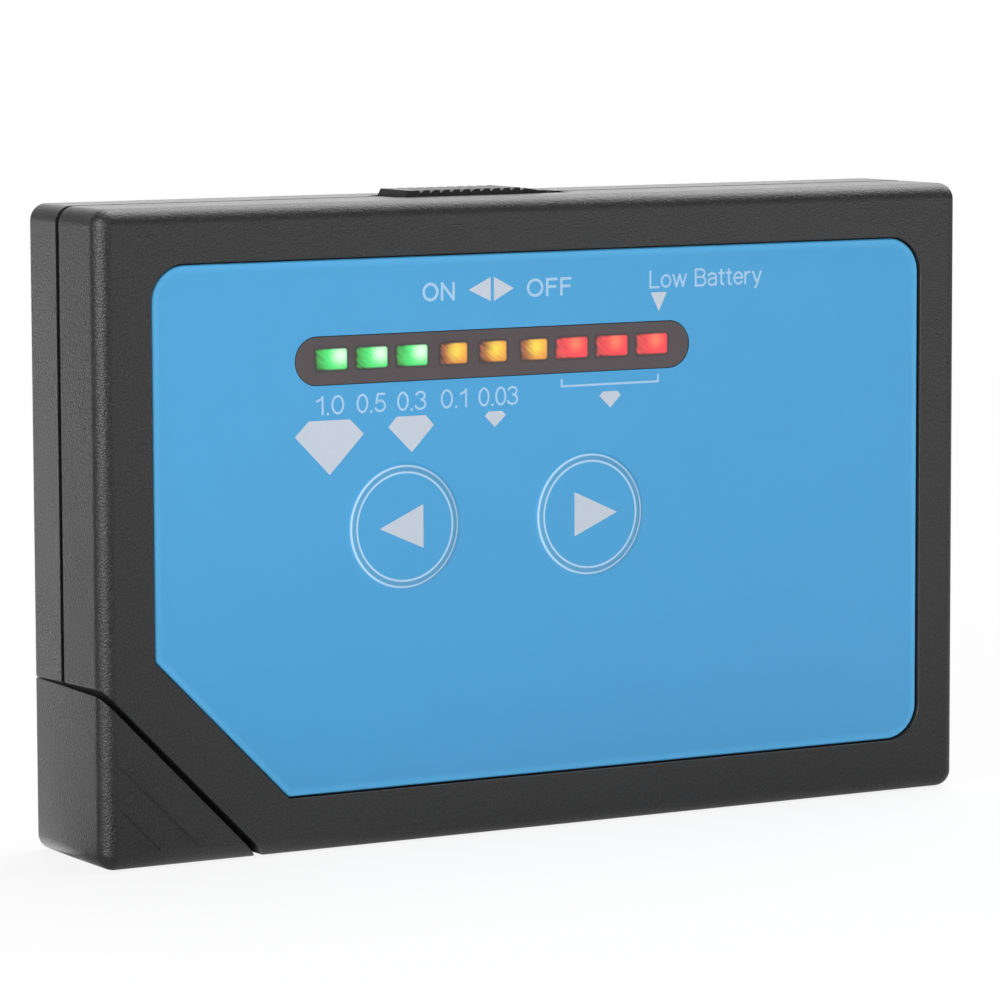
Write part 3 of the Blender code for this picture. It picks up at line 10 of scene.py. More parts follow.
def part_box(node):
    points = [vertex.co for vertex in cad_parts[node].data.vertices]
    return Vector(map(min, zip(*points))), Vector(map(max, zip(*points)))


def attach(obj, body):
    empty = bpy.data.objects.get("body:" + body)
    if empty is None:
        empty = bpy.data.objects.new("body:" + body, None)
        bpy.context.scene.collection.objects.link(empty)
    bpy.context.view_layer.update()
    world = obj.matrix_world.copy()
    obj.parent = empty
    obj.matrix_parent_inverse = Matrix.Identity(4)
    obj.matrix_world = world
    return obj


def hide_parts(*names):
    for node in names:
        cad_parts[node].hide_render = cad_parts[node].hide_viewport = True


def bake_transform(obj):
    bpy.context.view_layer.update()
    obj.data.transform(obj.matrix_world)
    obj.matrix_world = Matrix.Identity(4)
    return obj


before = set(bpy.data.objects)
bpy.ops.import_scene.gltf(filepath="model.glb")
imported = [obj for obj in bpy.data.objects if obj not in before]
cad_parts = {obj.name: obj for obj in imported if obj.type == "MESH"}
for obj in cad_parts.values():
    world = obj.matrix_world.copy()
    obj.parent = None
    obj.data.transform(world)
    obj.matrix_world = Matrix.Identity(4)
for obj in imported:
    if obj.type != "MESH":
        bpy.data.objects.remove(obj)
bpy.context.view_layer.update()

# Camera: a long lens a little left of the front and a little above the top edge, as in the photograph.
camera_azimuth = math.radians(-30.101)
camera_height = math.radians(6.169)
camera_roll = math.radians(-0.208)
camera_place = Vector((-0.24183, -0.41520, 0.08259))
camera_data = bpy.data.cameras.new("camera")
camera_data.sensor_width = 36
camera_data.lens = 181.98
camera = bpy.data.objects.new("camera", camera_data)
bpy.context.scene.collection.objects.link(camera)
across = Vector((math.cos(camera_azimuth), math.sin(camera_azimuth), 0))
level_part = math.cos(camera_height)
ahead = Vector((-math.sin(camera_azimuth) * level_part, math.cos(camera_azimuth) * level_part, 0))
ahead.z = -math.sin(camera_height)
upwards = across.cross(ahead)
turned_across = math.cos(camera_roll) * across + math.sin(camera_roll) * upwards
turned_up = math.cos(camera_roll) * upwards - math.sin(camera_roll) * across
facing = Matrix((turned_across, turned_up, -ahead)).transposed().to_4x4()
camera.matrix_world = Matrix.Translation(camera_place) @ facing
bpy.context.scene.camera = camera
bpy.context.scene.view_settings.view_transform = "Standard"


# Stage: a plain white table and a plain surround, dim low down and bright overhead, with a white sheet behind. The
# table gives a soft light to the sides and edges that mirror it. One wide soft lamp stands left of the camera.
class Signal:
    """A socket of a shader tree that takes part in sums: each operator adds its Math node."""

    def __init__(self, tree, socket=None):
        self.tree, self.socket = tree, socket

    def node(self, kind, sockets=(), output=0, **settings):
        """Adds any node: its settings come first, then its sockets get values or links."""
        made = self.tree.nodes.new(kind)
        for name, value in settings.items():
            setattr(made, name, value)
        for name, value in dict(sockets).items():
            if isinstance(value, Signal):
                self.tree.links.new(value.socket, made.inputs[name])
            else:
                made.inputs[name].default_value = value
        return Signal(self.tree, made.outputs[output])

    def other(self, output):
        """Another output of the same node."""
        return Signal(self.tree, self.socket.node.outputs[output])

    def math(self, operation, first, second=0.0):
        return self.node("ShaderNodeMath", {0: first, 1: second}, operation=operation)

    def __add__(self, other):
        return self.math("ADD", self, other)

    def __sub__(self, other):
        return self.math("SUBTRACT", self, other)

    def __rsub__(self, other):
        return self.math("SUBTRACT", other, self)

    def __mul__(self, other):
        return self.math("MULTIPLY", self, other)

    def __truediv__(self, other):
        return self.math("DIVIDE", self, other)

    def __pow__(self, other):
        return self.math("POWER", self, other)

    def __abs__(self):
        return self.math("ABSOLUTE", self)

    __radd__ = __add__
    __rmul__ = __mul__

    def most(self, *others):
        for other in others:
            self = self.math("MAXIMUM", self, other)
        return self

    def reach(self, other):
        """The distance that two offsets at right angles make."""
        return (self * self + other * other) ** 0.5

    def step(self, low, high):
        """Climbs smoothly from 0 at low to 1 at high."""
        return self.node(
            "ShaderNodeMapRange", {0: self, 1: low, 2: high, 3: 0.0, 4: 1.0}, interpolation_type="SMOOTHSTEP"
        )

    def mix(self, first, second):
        """A colour between two, with this value as the share of the second."""
        return self.node("ShaderNodeMix", {0: self, 6: first, 7: second}, 2, data_type="RGBA", clamp_factor=True)

    def split(self):
        """The x, y and z of a place."""
        x = self.node("ShaderNodeSeparateXYZ", {0: self})
        return x, x.other(1), x.other(2)

    def vector(self, operation, second=(0, 0, 0), output=0):
        return self.node("ShaderNodeVectorMath", {0: self, 1: second}, output, operation=operation)

    def toward(self, direction, low, high):
        """Climbs from 0 to 1 as a direction turns to the given one, between two cosines."""
        return self.vector("DOT_PRODUCT", Vector(direction).normalized(), 1).step(low, high)

    def dots(self, spacing, radius, share):
        """Sparse round dots: about one to a spacing, kept by a share of them."""
        scaled = self.vector("MULTIPLY", [1 / spacing] * 3)
        near = scaled.node("ShaderNodeTexVoronoi", {"Vector": scaled, "Scale": 1.0})
        chosen = near.node("ShaderNodeSeparateColor", {0: near.other(1)})
        reach = radius / spacing
        return (1.0 - near.step(reach * 0.6, reach)) * chosen.step(1 - share, 1 - share + 0.001)

    def noise(self, size, detail=2.0, roughness=0.5, stretch=(1, 1, 1)):
        """Noise on a place, with grains of about the given size in metres."""
        scaled = self.vector("MULTIPLY", [s / size for s in stretch])
        sockets = {"Vector": scaled, "Scale": 1.0, "Detail": detail, "Roughness": roughness}
        return scaled.node("ShaderNodeTexNoise", sockets)


def srgb(red, green, blue):
    """A colour as it reads on a screen, 0 to 255, as the shader wants it."""
    levels = [c / 255 for c in (red, green, blue)]
    return (*[((c + 0.055) / 1.055) ** 2.4 if c > 0.04045 else c / 12.92 for c in levels], 1)


def new_finish(name, roughness=0.5, metallic=0.0):
    """A material, its shader, and the place on the piece that its patterns read."""
    material = bpy.data.materials.new(name)
    material.use_nodes = True
    shader = material.node_tree.nodes["Principled BSDF"]
    shader.inputs["Roughness"].default_value = roughness
    shader.inputs["Metallic"].default_value = metallic
    return material, shader, Signal(material.node_tree).node("ShaderNodeTexCoord", output=3)


def feed(shader, signal, socket):
    signal.tree.links.new(signal.socket, shader.inputs[socket])


def skin(shader, colour, roughness, height=None, depth=0.0):
    """Colour and roughness of a surface; a height of 0 to 1 stands the given depth above it."""
    feed(shader, colour, "Base Color")
    feed(shader, roughness, "Roughness")
    if height:
        feed(shader, height.node("ShaderNodeBump", {"Strength": 1.0, "Distance": depth, "Height": height}), "Normal")


table_bm = bmesh.new()
bmesh.ops.create_grid(table_bm, x_segments=1, y_segments=1, size=3)
table_mesh = bpy.data.meshes.new("table")
table_bm.to_mesh(table_mesh)
table_bm.free()
table = bpy.data.objects.new("table", table_mesh)
bpy.context.scene.collection.objects.link(table)
table_paint, table_shader, table_place = new_finish("white_table", 0.9)
feed(table_shader, table_place.noise(0.004).mix((0.72, 0.72, 0.72, 1), (0.75, 0.75, 0.75, 1)), "Base Color")
distance = table_place.vector("LENGTH", output=1)
camera_ray = table_place.node("ShaderNodeLightPath")
glossy_ray = camera_ray.other(3)
share = camera_ray * (0.86 + distance.step(0.10, 0.70) * 0.14) + glossy_ray
left_end = (0.047, 0, 0)
from_left_end = table_place.vector("ADD", left_end).vector("NORMALIZE")
_, table_y, _ = table_place.split()
in_front = (0.0 - table_y).step(0.0, 0.30)
sheen = 0.18 + from_left_end.toward((-0.05, 1, 0), 0.955, 0.985) * (distance.step(0.05, 0.35) * 0.45 + 1.55)
sheen = sheen + from_left_end.toward((1, 0.3, 0), 0.1, 0.9) * 0.35
sheen = sheen + from_left_end.toward((0.62, -0.78, 0), 0.75, 0.96) * (in_front * 1.3 + 0.36)
# The object stands on the table, so no light comes from right under it
foot_half = (0.046, 0.0066, 0)
aside_x, aside_y, _ = table_place.vector("ABSOLUTE").vector("SUBTRACT", foot_half).split()
sheen = sheen * aside_x.step(-0.0022, 0.0006).most(aside_y.step(-0.0022, 0.0006))
strength = camera_ray + sheen * (1.0 - camera_ray)
glow = camera_ray.node("ShaderNodeEmission", {"Color": (1, 1, 1, 1), "Strength": strength})
lit_table = Signal(glow.tree, table_shader.outputs[0])
table_mix = glow.node("ShaderNodeMixShader", {0: share, 1: lit_table, 2: glow})
glow.tree.links.new(table_mix.socket, glow.tree.nodes["Material Output"].inputs[0])
table_mesh.materials.append(table_paint)

world = bpy.data.worlds.new("surround")
bpy.context.scene.world = world
world.use_nodes = True
sky = Signal(world.node_tree).node("ShaderNodeTexCoord", output=0)
sheet_behind = sky.toward((0.38, 1, 0.16), 0.90, 0.985)
back_left = sky.toward((-0.05, 1, 0), 0.955, 0.985)
front_right = sky.toward((0.56, -0.83, 0), 0.74, 0.97)
overhead = sky.toward((0.5, 0.25, 0.83), 0.76, 0.95)
level = 0.14 + sheet_behind * 1.4 + back_left * 0.25 + front_right * 0.15 + overhead * 4.2
to_camera = sky.node("ShaderNodeLightPath")
level = to_camera + level * (1.0 - to_camera)
background = world.node_tree.nodes["Background"]
background.inputs["Color"].default_value = (1, 1, 1, 1)
feed(background, level, "Strength")

lamp_data = bpy.data.lights.new("left_lamp", "AREA")
lamp_data.size = 0.64
lamp_data.energy = 7.4
lamp = bpy.data.objects.new("left_lamp", lamp_data)
lamp.location = (-0.63, -0.30, 0.13)
lamp_aim = Vector((0, 0, 0.03))
lamp.rotation_euler = (lamp_aim - lamp.location).to_track_quat("-Z", "Y").to_euler()
bpy.context.scene.collection.objects.link(lamp)


# Front shell: the front half of the housing, moulded in black ABS with a fine spark-eroded skin. It holds the
# printed overlay in a shallow recess, and a lip along its rim closes the parting line to the back shell.
gap = 0.0003
overrun = 0.001
wall = 0.0016
front_wall = 0.0020
diagonal_wall = 0.0020
cap_wall = 0.0014
corner_radius = 0.0016
inner_corner = 0.0007
front_edge = 0.00155
soft_edge = 0.00010
lip = 0.0009
spigot_length = 0.0030
boss_radius, boss_bore = 0.0025, 0.0013
stand_radius, stand_bore = 0.0020, 0.0011
rib_thickness = 0.0010
front_low, front_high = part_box("front_shell")
back_low, back_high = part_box("back_shell")
left, right, height = front_low.x, front_high.x, front_high.z
front_y, back_y = front_low.y, back_high.y
inner_front_y = front_y + front_wall
parting_y = back_low.y - gap / 2
parting_half = 0.00036
seam_leg = 0.0164
seam_sum = left + seam_leg
seam_inner = 0.00010
seam_out = Vector((-1, 0, -1)).normalized()
root_two = math.sqrt(2)
to_corner = (0, -math.pi * 3 / 4, 0)


def finished(name, bm):
    """Makes a bmesh a piece, smooth where it is round and sharp at its edges."""
    mesh = bpy.data.meshes.new(name)
    bm.to_mesh(mesh)
    bm.free()
    mesh.shade_smooth()
    mesh.set_sharp_from_angle(angle=math.radians(32))
    piece = bpy.data.objects.new(name, mesh)
    bpy.context.scene.collection.objects.link(piece)
    return piece


def paint(piece, finish):
    """Gives a piece one finish, in place of any that its cuts have left."""
    piece.data.materials.clear()
    piece.data.materials.append(finish)


def even_normals(piece):
    """Keeps flat faces flat in their shading where they meet small rounded edges."""
    weigh = piece.modifiers.new("even_normals", "WEIGHTED_NORMAL")
    weigh.keep_sharp = True
    weigh.weight = 100


def box_mesh(low, high):
    bm = bmesh.new()
    bmesh.ops.create_cube(bm, size=1)
    low, high = Vector(low), Vector(high)
    bmesh.ops.scale(bm, vec=high - low, verts=bm.verts)
    bmesh.ops.translate(bm, vec=(low + high) / 2, verts=bm.verts)
    return bm


def bevel(bm, edges, width, segments=3):
    bmesh.ops.bevel(
        bm, geom=edges, offset=width, segments=segments, profile=0.5, affect="EDGES", material=-1, clamp_overlap=True
    )


def rounded_box(low, high, corner, front=0, back=0, corner_steps=14, edge_steps=8, draft=0):
    """A moulded box: first its corners as seen from the front are rounded, then its front and back edges. With a
    draft, its ends lean in towards the back from the parting line on, so that it leaves its mould."""
    bm = box_mesh(low, high)
    centre_y = (low[1] + high[1]) / 2
    uprights = [e for e in bm.edges if (e.verts[0].co.y - centre_y) * (e.verts[1].co.y - centre_y) < 0]
    bevel(bm, uprights, corner, corner_steps)
    if draft:
        if low[1] < parting_y:
            everything = [*bm.verts, *bm.edges, *bm.faces]
            bmesh.ops.bisect_plane(bm, geom=everything, dist=1e-7, plane_co=(0, parting_y, 0), plane_no=(0, 1, 0))
        narrow = 1 - 2 * draft / (high[0] - low[0])
        space = Matrix.Translation((-(low[0] + high[0]) / 2, 0, 0))
        far = [v for v in bm.verts if v.co.y > high[1] - gap]
        bmesh.ops.scale(bm, vec=(narrow, 1, 1), space=space, verts=far)
    for radius, face_y in ((front, low[1]), (back, high[1])):
        if radius:
            rim = [e for e in bm.edges if all(abs(v.co.y - face_y) < 1e-6 for v in e.verts)]
            bevel(bm, rim, radius, edge_steps)
    return bm


def slice_off(bm, point, outward, edge=0.0):
    """Cuts away all that lies beyond a plane, closes the cut and rounds its edge."""
    cut = bmesh.ops.bisect_plane(
        bm, geom=[*bm.verts, *bm.edges, *bm.faces], dist=1e-7, plane_co=point, plane_no=outward, clear_outer=True
    )
    rim = [e for e in cut["geom_cut"] if isinstance(e, bmesh.types.BMEdge)]
    bmesh.ops.contextual_create(bm, geom=rim)
    if edge:
        bevel(bm, rim, edge)
    return bm


def carve(piece, operation, *tools):
    """Joins, cuts or keeps a piece by other bmeshes, which are used up."""
    for tool in tools:
        bmesh.ops.recalc_face_normals(tool, faces=tool.faces)
        tool = finished(piece.name + "_tool", tool)
        change = piece.modifiers.new("carve", "BOOLEAN")
        change.operation, change.solver, change.object = operation, "EXACT", tool
        bpy.context.view_layer.update()
        result = bpy.data.meshes.new_from_object(piece.evaluated_get(bpy.context.evaluated_depsgraph_get()))
        piece.modifiers.clear()
        old, piece.data = piece.data, result
        bpy.data.meshes.remove(old)
        bpy.data.objects.remove(tool, do_unlink=True)
    piece.data.name = piece.name


def outline(corners, grow=0.0, steps=10):
    """A closed line through (x, z, radius) corners, each rounded, moved outwards by grow."""
    points = []
    for i, (x, z, radius) in enumerate(corners):
        here = Vector((x, z))
        before = (here - Vector(corners[i - 1][:2])).normalized()
        after = (Vector(corners[(i + 1) % len(corners)][:2]) - here).normalized()
        half = before.angle(after) / 2
        out = (before - after).normalized()
        tip = here + out * (grow / math.cos(half))
        r = max(radius + grow, 0.00002)
        centre = tip - out * (r / math.cos(half))
        start = Vector((before.y, -before.x))
        end = Vector((after.y, -after.x))
        for k in range(steps + 1):
            points.append(centre + (start * (1 - k / steps) + end * (k / steps)).normalized() * r)
    return points


def loft(levels, axis="Y"):
    """A closed solid through loops of equal count; each level is (depth, points)."""
    bm = bmesh.new()
    rings = []
    for depth, points in levels:
        if axis == "Y":
            ring = [bm.verts.new((p[0], depth, p[1])) for p in points]
        else:
            ring = [bm.verts.new((p[0], p[1], depth)) for p in points]
        rings.append([bm.edges.new((ring[i - 1], ring[i])) for i in range(len(ring))])
    for first, second in zip(rings, rings[1:]):
        bmesh.ops.bridge_loops(bm, edges=first + second)
    bmesh.ops.contextual_create(bm, geom=rings[0])
    bmesh.ops.contextual_create(bm, geom=rings[-1])
    bmesh.ops.recalc_face_normals(bm, faces=bm.faces)
    return bm


def rods(places, radius, low, high, sides=48):
    """Round bars from front to back, one at each place."""
    bars = []
    for place in places:
        bm = bmesh.new()
        bmesh.ops.create_cone(bm, cap_ends=True, segments=sides, radius1=radius, radius2=radius, depth=high - low)
        bmesh.ops.rotate(bm, verts=bm.verts, matrix=Matrix.Rotation(math.pi / 2, 3, "X"))
        bmesh.ops.translate(bm, vec=(place.x, (low + high) / 2, place.z), verts=bm.verts)
        bars.append(bm)
    return bars


def turned(profile, point, turn, sides=64):
    """A turned solid: (radius, height) points from its top to its foot, spun about its own axis."""
    bm = bmesh.new()
    verts = [bm.verts.new((radius, 0, level)) for radius, level in profile]
    edges = [bm.edges.new(pair) for pair in zip(verts, verts[1:])]
    if profile[0][0] > 0:
        edges.append(bm.edges.new((verts[-1], verts[0])))
    bmesh.ops.spin(
        bm, geom=verts + edges, cent=(0, 0, 0), axis=(0, 0, 1), angle=math.tau, steps=sides, use_merge=True
    )
    bmesh.ops.remove_doubles(bm, verts=bm.verts, dist=1e-7)
    bmesh.ops.recalc_face_normals(bm, faces=bm.faces)
    matrix = Matrix.Translation(point) @ Euler(turn).to_matrix().to_4x4()
    bmesh.ops.transform(bm, matrix=matrix, verts=bm.verts)
    return bm


def middle(node):
    """The middle of a CAD piece's box."""
    low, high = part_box(node)
    return (low + high) / 2


def seam_point(out):
    """The point on the probe's axis that lies out from the seam by a distance."""
    return Vector((left + seam_leg / 2, parting_y, seam_leg / 2)) + seam_out * out


def keep_inside(bm, out, edge=0.0):
    """Keeps the housing's side of the seam, up to a distance out from it."""
    return slice_off(bm, seam_point(out), seam_out, edge)


def probe_bore():
    """The stepped hole through the spigot and the diagonal wall."""
    sleeve_bore, holder_bore, shoulder = 0.0024, 0.0037, 0.0009
    foot, end = -diagonal_wall - overrun, spigot_length + overrun
    profile = [(0, end), (sleeve_bore, end), (sleeve_bore, shoulder)]
    profile += [(holder_bore, shoulder), (holder_bore, foot), (0, foot)]
    return turned(profile, seam_point(0), to_corner)


def spigot(low_y, high_y):
    """Half of the block that the cap slides over."""
    inset = cap_wall + gap
    bm = box_mesh((left + inset, low_y, inset), (left + 2 * seam_leg, high_y, 2 * seam_leg))
    slice_off(bm, seam_point(-diagonal_wall / 2), -seam_out)
    slice_off(bm, seam_point(spigot_length), seam_out, soft_edge)
    return bm


def shell_cavity(low_y, high_y):
    low, high = (left + wall, low_y, wall), (right - wall, high_y, height - wall)
    return keep_inside(rounded_box(low, high, inner_corner, corner_steps=4), -diagonal_wall)


def lip_solid(inset, low_y, high_y):
    low, high = (left + inset, low_y, inset), (right - inset, high_y, height - inset)
    return keep_inside(rounded_box(low, high, corner_radius - inset, corner_steps=8), -inset)


panel_left, panel_right = left + 0.00562, right - 0.00486
panel_low, panel_high = 0.0055, height - 0.00536
panel_cut = seam_sum + 0.0058 * root_two
panel_round = 0.0032
panel_corners = (
    (panel_left, panel_cut - panel_left, 0.0003),
    (panel_cut - panel_low, panel_low, 0.0003),
    (panel_right, panel_low, panel_round),
    (panel_right, panel_high, panel_round),
    (panel_left, panel_high, panel_round),
)
film_thickness = 0.0004
film_front = front_y + 0.00025
film_back = film_front + film_thickness
strip_low, strip_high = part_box("window_strip")
strip_low.x += 0.00027
strip_high.x += 0.00015
strip_round = (strip_high.z - strip_low.z) / 2
strip_corners = (
    (strip_low.x, strip_low.z, strip_round),
    (strip_high.x, strip_low.z, strip_round),
    (strip_high.x, strip_high.z, strip_round),
    (strip_low.x, strip_high.z, strip_round),
)
key_sides = ("left", "right")
key_centres = [middle(side + "_key_dome") for side in key_sides]
key_hole = 0.00606
slot_left, slot_right = -0.01340, 0.00580
slot_half = 0.0030
case_screws = ["case_screw_%d" % number for number in range(1, 5)]
board_screws = ["board_screw_%d" % number for number in range(1, 3)]
screw_places = [middle(name) for name in case_screws]
stand_places = [middle(name) for name in board_screws]
screw_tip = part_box(case_screws[0])[0].y
stand_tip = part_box(board_screws[0])[0].y
board_low, board_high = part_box("main_board")
bay_left = board_high.x + 0.0007


def switch_slot():
    """The slot in the top edge, a little flared where it meets the outside."""
    low, high, round_corner = parting_y - slot_half, parting_y + slot_half, 0.0004
    corners = [(slot_left, low), (slot_right, low), (slot_right, high), (slot_left, high)]
    corners = [(*corner, round_corner) for corner in corners]
    flare = ((-2 * wall, 0), (-soft_edge, 0), (-soft_edge / 3, soft_edge / 3), (0, soft_edge), (overrun, soft_edge))
    return loft([(height + rise, outline(corners, grow, 6)) for rise, grow in flare], "Z")


rim_y = parting_y - parting_half
bm = rounded_box((left, front_y, 0), (right, rim_y, height), corner_radius, front=front_edge)
# The housing's side of the seam leans, so that the seam opens a little towards the front
housing_lean = Vector((0, -0.0205, 0))
slice_off(bm, seam_point(-seam_inner), seam_out + housing_lean, soft_edge)
front_shell = finished("front_housing", bm)
lip_y = parting_y + lip
carve(front_shell, "UNION", spigot(front_y + cap_wall + gap, rim_y), lip_solid(lip, parting_y - wall, lip_y))
carve(front_shell, "DIFFERENCE", shell_cavity(inner_front_y, lip_y + overrun))
rib_y = inner_front_y - front_wall / 4
rib_x = bay_left + rib_thickness / 2
contact_thickness = 0.0004
contact_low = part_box("minus_contact")[1].z - contact_thickness
contact_high = height - contact_low
carve(
    front_shell,
    "UNION",
    box_mesh((bay_left, rib_y, wall / 2), (bay_left + rib_thickness, rim_y, height - wall / 2)),
    box_mesh((rib_x, rib_y, contact_low - gap - rib_thickness), (right - wall / 2, rim_y - gap, contact_low - gap)),
    box_mesh((rib_x, rib_y, contact_high + gap), (right - wall / 2, rim_y - gap, contact_high + gap + rib_thickness)),
    *rods(screw_places, boss_radius, rib_y, rim_y),
    *rods(stand_places, stand_radius, rib_y, board_low.y - gap, 32),
)
flare = ((-overrun, soft_edge / 2), (0, soft_edge / 2), (soft_edge / 2, 0))
recess_levels = [(front_y + depth, outline(panel_corners, gap + grow)) for depth, grow in flare]
recess_levels.append((film_back + gap, outline(panel_corners, gap)))
carve(
    front_shell,
    "DIFFERENCE",
    loft(recess_levels),
    loft([(y, outline(strip_corners, gap, 16)) for y in (front_y, inner_front_y + overrun)]),
    *rods(key_centres, key_hole, front_y, inner_front_y + overrun),
    *rods(screw_places, boss_bore, screw_tip - gap, back_y, 24),
    *rods(stand_places, stand_bore, stand_tip - gap, board_low.y, 24),
    switch_slot(),
    probe_bore(),
)
even_normals(front_shell)


def moulded_black():
    """Black ABS from a spark-eroded mould: fine even grain, a soft low sheen, faint mottle, stray dust."""
    material, shader, place = new_finish("moulded_black")
    mottle = place.noise(0.006, 3)
    grain = place.noise(0.00018, 2, 0.6)
    coarse = place.noise(0.00045, 2)
    dust = place.dots(0.0035, 0.00005, 0.25)
    base = mottle.mix(srgb(28, 28, 29), srgb(36, 36, 37))
    base = grain.step(0.35, 0.75).mix(base, srgb(52, 52, 53))
    base = (dust * 0.6).mix(base, srgb(110, 112, 115))
    skin(shader, base, 0.27 + mottle * 0.06 + grain * 0.06, grain * 0.8 + coarse * 0.2, 0.00008)
    return material


black_finish = moulded_black()
paint(front_shell, black_finish)
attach(front_shell, "casing")
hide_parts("front_shell")


# Back shell: the rear half of the housing, from the same black ABS. Posts behind it take the four case screws, and
# its right end is open to the battery bay, where a dovetail guides the door.
back_edge = 0.0005
mould_draft = 0.00018
inner_back_y = back_y - wall
head_well_radius, head_well_depth = 0.0021, 0.0036
door_margin, dovetail_lean = 0.0052, 0.0009
tongue_margin, tongue_length, tongue_thickness = 0.0061, 0.0010, 0.0007
door_left = bay_left + gap


def dovetail(grow, low_x, high_x, low_y, high_y):
    """The door's section: narrower at the back, so that the door can only slide."""
    inner = door_margin - grow
    rise = dovetail_lean * (high_y - low_y) / wall
    bm = bmesh.new()
    section = ((low_y, inner), (low_y, height - inner), (high_y, height - inner - rise), (high_y, inner + rise))
    face = bm.faces.new([bm.verts.new((low_x, y, z)) for y, z in section])
    drawn = bmesh.ops.extrude_face_region(bm, geom=[face])["geom"]
    far = [v for v in drawn if isinstance(v, bmesh.types.BMVert)]
    bmesh.ops.translate(bm, vec=(high_x - low_x, 0, 0), verts=far)
    bmesh.ops.recalc_face_normals(bm, faces=bm.faces)
    return bm


def door_tongue(grow, low_y):
    """The tongue at the door's closed end, and with a grow the pocket for it."""
    low = (door_left - tongue_length - grow, low_y, tongue_margin - grow)
    return box_mesh(low, (door_left + overrun, inner_back_y + tongue_thickness + grow, height - tongue_margin + grow))


rim_y = parting_y + parting_half
bm = rounded_box((left, rim_y, 0), (right, back_y, height), corner_radius, back=back_edge, draft=mould_draft)
keep_inside(bm, -seam_inner, soft_edge)
back_shell = finished("back_housing", bm)
carve(back_shell, "UNION", spigot(rim_y, back_y - cap_wall - gap))
carve(back_shell, "DIFFERENCE", shell_cavity(parting_y - overrun, inner_back_y))
carve(back_shell, "UNION", *rods(screw_places, boss_radius, rim_y, inner_back_y + wall / 4))
carve(
    back_shell,
    "DIFFERENCE",
    lip_solid(lip - gap, parting_y - overrun, lip_y + gap),
    *rods(screw_places, boss_bore, parting_y - overrun, back_y, 32),
    *rods(screw_places, head_well_radius, back_y - head_well_depth, back_y + overrun),
    switch_slot(),
    probe_bore(),
    dovetail(gap, bay_left, right + overrun, inner_back_y - gap, back_y + overrun),
    door_tongue(gap, inner_back_y - gap),
)
even_normals(back_shell)
paint(back_shell, black_finish)
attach(back_shell, "casing")
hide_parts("back_shell")


# Corner cap: a hollow moulded corner that pushes over the spigot and pulls off along the diagonal. Two shallow
# steps across its front and back give the thumb a grip.
seam_outer = 0.00018
grip_depth, grip_run, grip_margin = 0.00027, 0.0019, 0.0015
grip_first, grip_pitch = 0.00372, 0.00275


def grip_cut(distance, face_y, side):
    """A ramp across the cap that deepens away from the seam and ends in a step; it runs out at both ends."""
    foot = seam_point(distance)
    reach = (foot.z - grip_margin) * root_two
    sections = []
    for along, share in ((-1, 0.03), (-0.92, 0.8), (-0.8, 1), (0.8, 1), (0.92, 0.8), (1, 0.03)):
        corners = ((0, grip_depth * share), (grip_run, 0), (grip_run, -overrun), (0, -overrun))
        sections.append((along * reach, [(u, -side * v) for u, v in corners]))
    bm = loft(sections, "Z")
    bmesh.ops.rotate(bm, verts=bm.verts, matrix=Matrix.Rotation(-math.pi / 4, 3, "Y"))
    bmesh.ops.translate(bm, vec=(foot.x, face_y, foot.z), verts=bm.verts)
    return bm


cap_end = left + 3 * seam_leg
bm = rounded_box(
    (left, front_y, 0), (cap_end, back_y, 3 * seam_leg), corner_radius, front_edge, back_edge, draft=mould_draft
)
# The cap sits on its spigot with a little tilt, so the seam opens towards the front and the bottom
front_tilt, bottom_tilt = -0.018, 0.0056
cap_face = -seam_out + Vector((0, front_tilt, 0)) + Vector((1, 0, -1)).normalized() * bottom_tilt
slice_off(bm, seam_point(seam_outer), cap_face, soft_edge)
cap = finished("pull_off_cap", bm)
carve(
    cap,
    "DIFFERENCE",
    rounded_box(
        (left + cap_wall, front_y + cap_wall, cap_wall),
        (cap_end, back_y - cap_wall, 3 * seam_leg),
        corner_radius - cap_wall,
        corner_steps=6,
    ),
    *[grip_cut(grip_first + k * grip_pitch, y, side) for k in range(2) for y, side in ((front_y, -1), (back_y, 1))],
)
even_normals(cap)
paint(cap, black_finish)
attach(cap, "cap")
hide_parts("corner_cap")


# Battery door: a flat lid with dovetailed long edges, a tongue at its closed end, and thumb grooves near its open
# end. It is moulded in the same black ABS.
groove_first, groove_pitch, groove_count = 0.0050, 0.0016, 6
groove_half_width, groove_half_length, groove_depth = 0.00035, 0.007, 0.0004
door = finished("bay_door", dovetail(0, door_left, right, inner_back_y, back_y))
carve(door, "UNION", door_tongue(0, inner_back_y))
carve(
    door,
    "INTERSECT",
    rounded_box((left, front_y, 0), (right, back_y, height), corner_radius, back=back_edge, draft=mould_draft),
)
for index in range(groove_count):
    x = right - groove_first - index * groove_pitch
    groove = box_mesh(
        (x - groove_half_width, back_y - groove_depth, height / 2 - groove_half_length),
        (x + groove_half_width, back_y + overrun, height / 2 + groove_half_length),
    )
    bevel(groove, [e for e in groove.edges if all(v.co.y < back_y for v in e.verts)], groove_depth / 2)
    carve(door, "DIFFERENCE", groove)
even_normals(door)
paint(door, black_finish)
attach(door, "door")
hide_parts("battery_door")


# Overlay: a satin polycarbonate film, printed blue on its back, laid in the recess. The two keys are embossed in
# it, each in a round patch of the film of its own.
patch_radius = 0.0082
emboss_foot, emboss_top = 0.00612, 0.00525
ring_radii, ring_line = (0.00565, 0.00506), (0.00006, 0.00013)
band_radius, band_line = 0.00536, (0.00018, 0.00030)
film_grow = 0.00014
rise = film_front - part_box("left_key_dome")[0].y


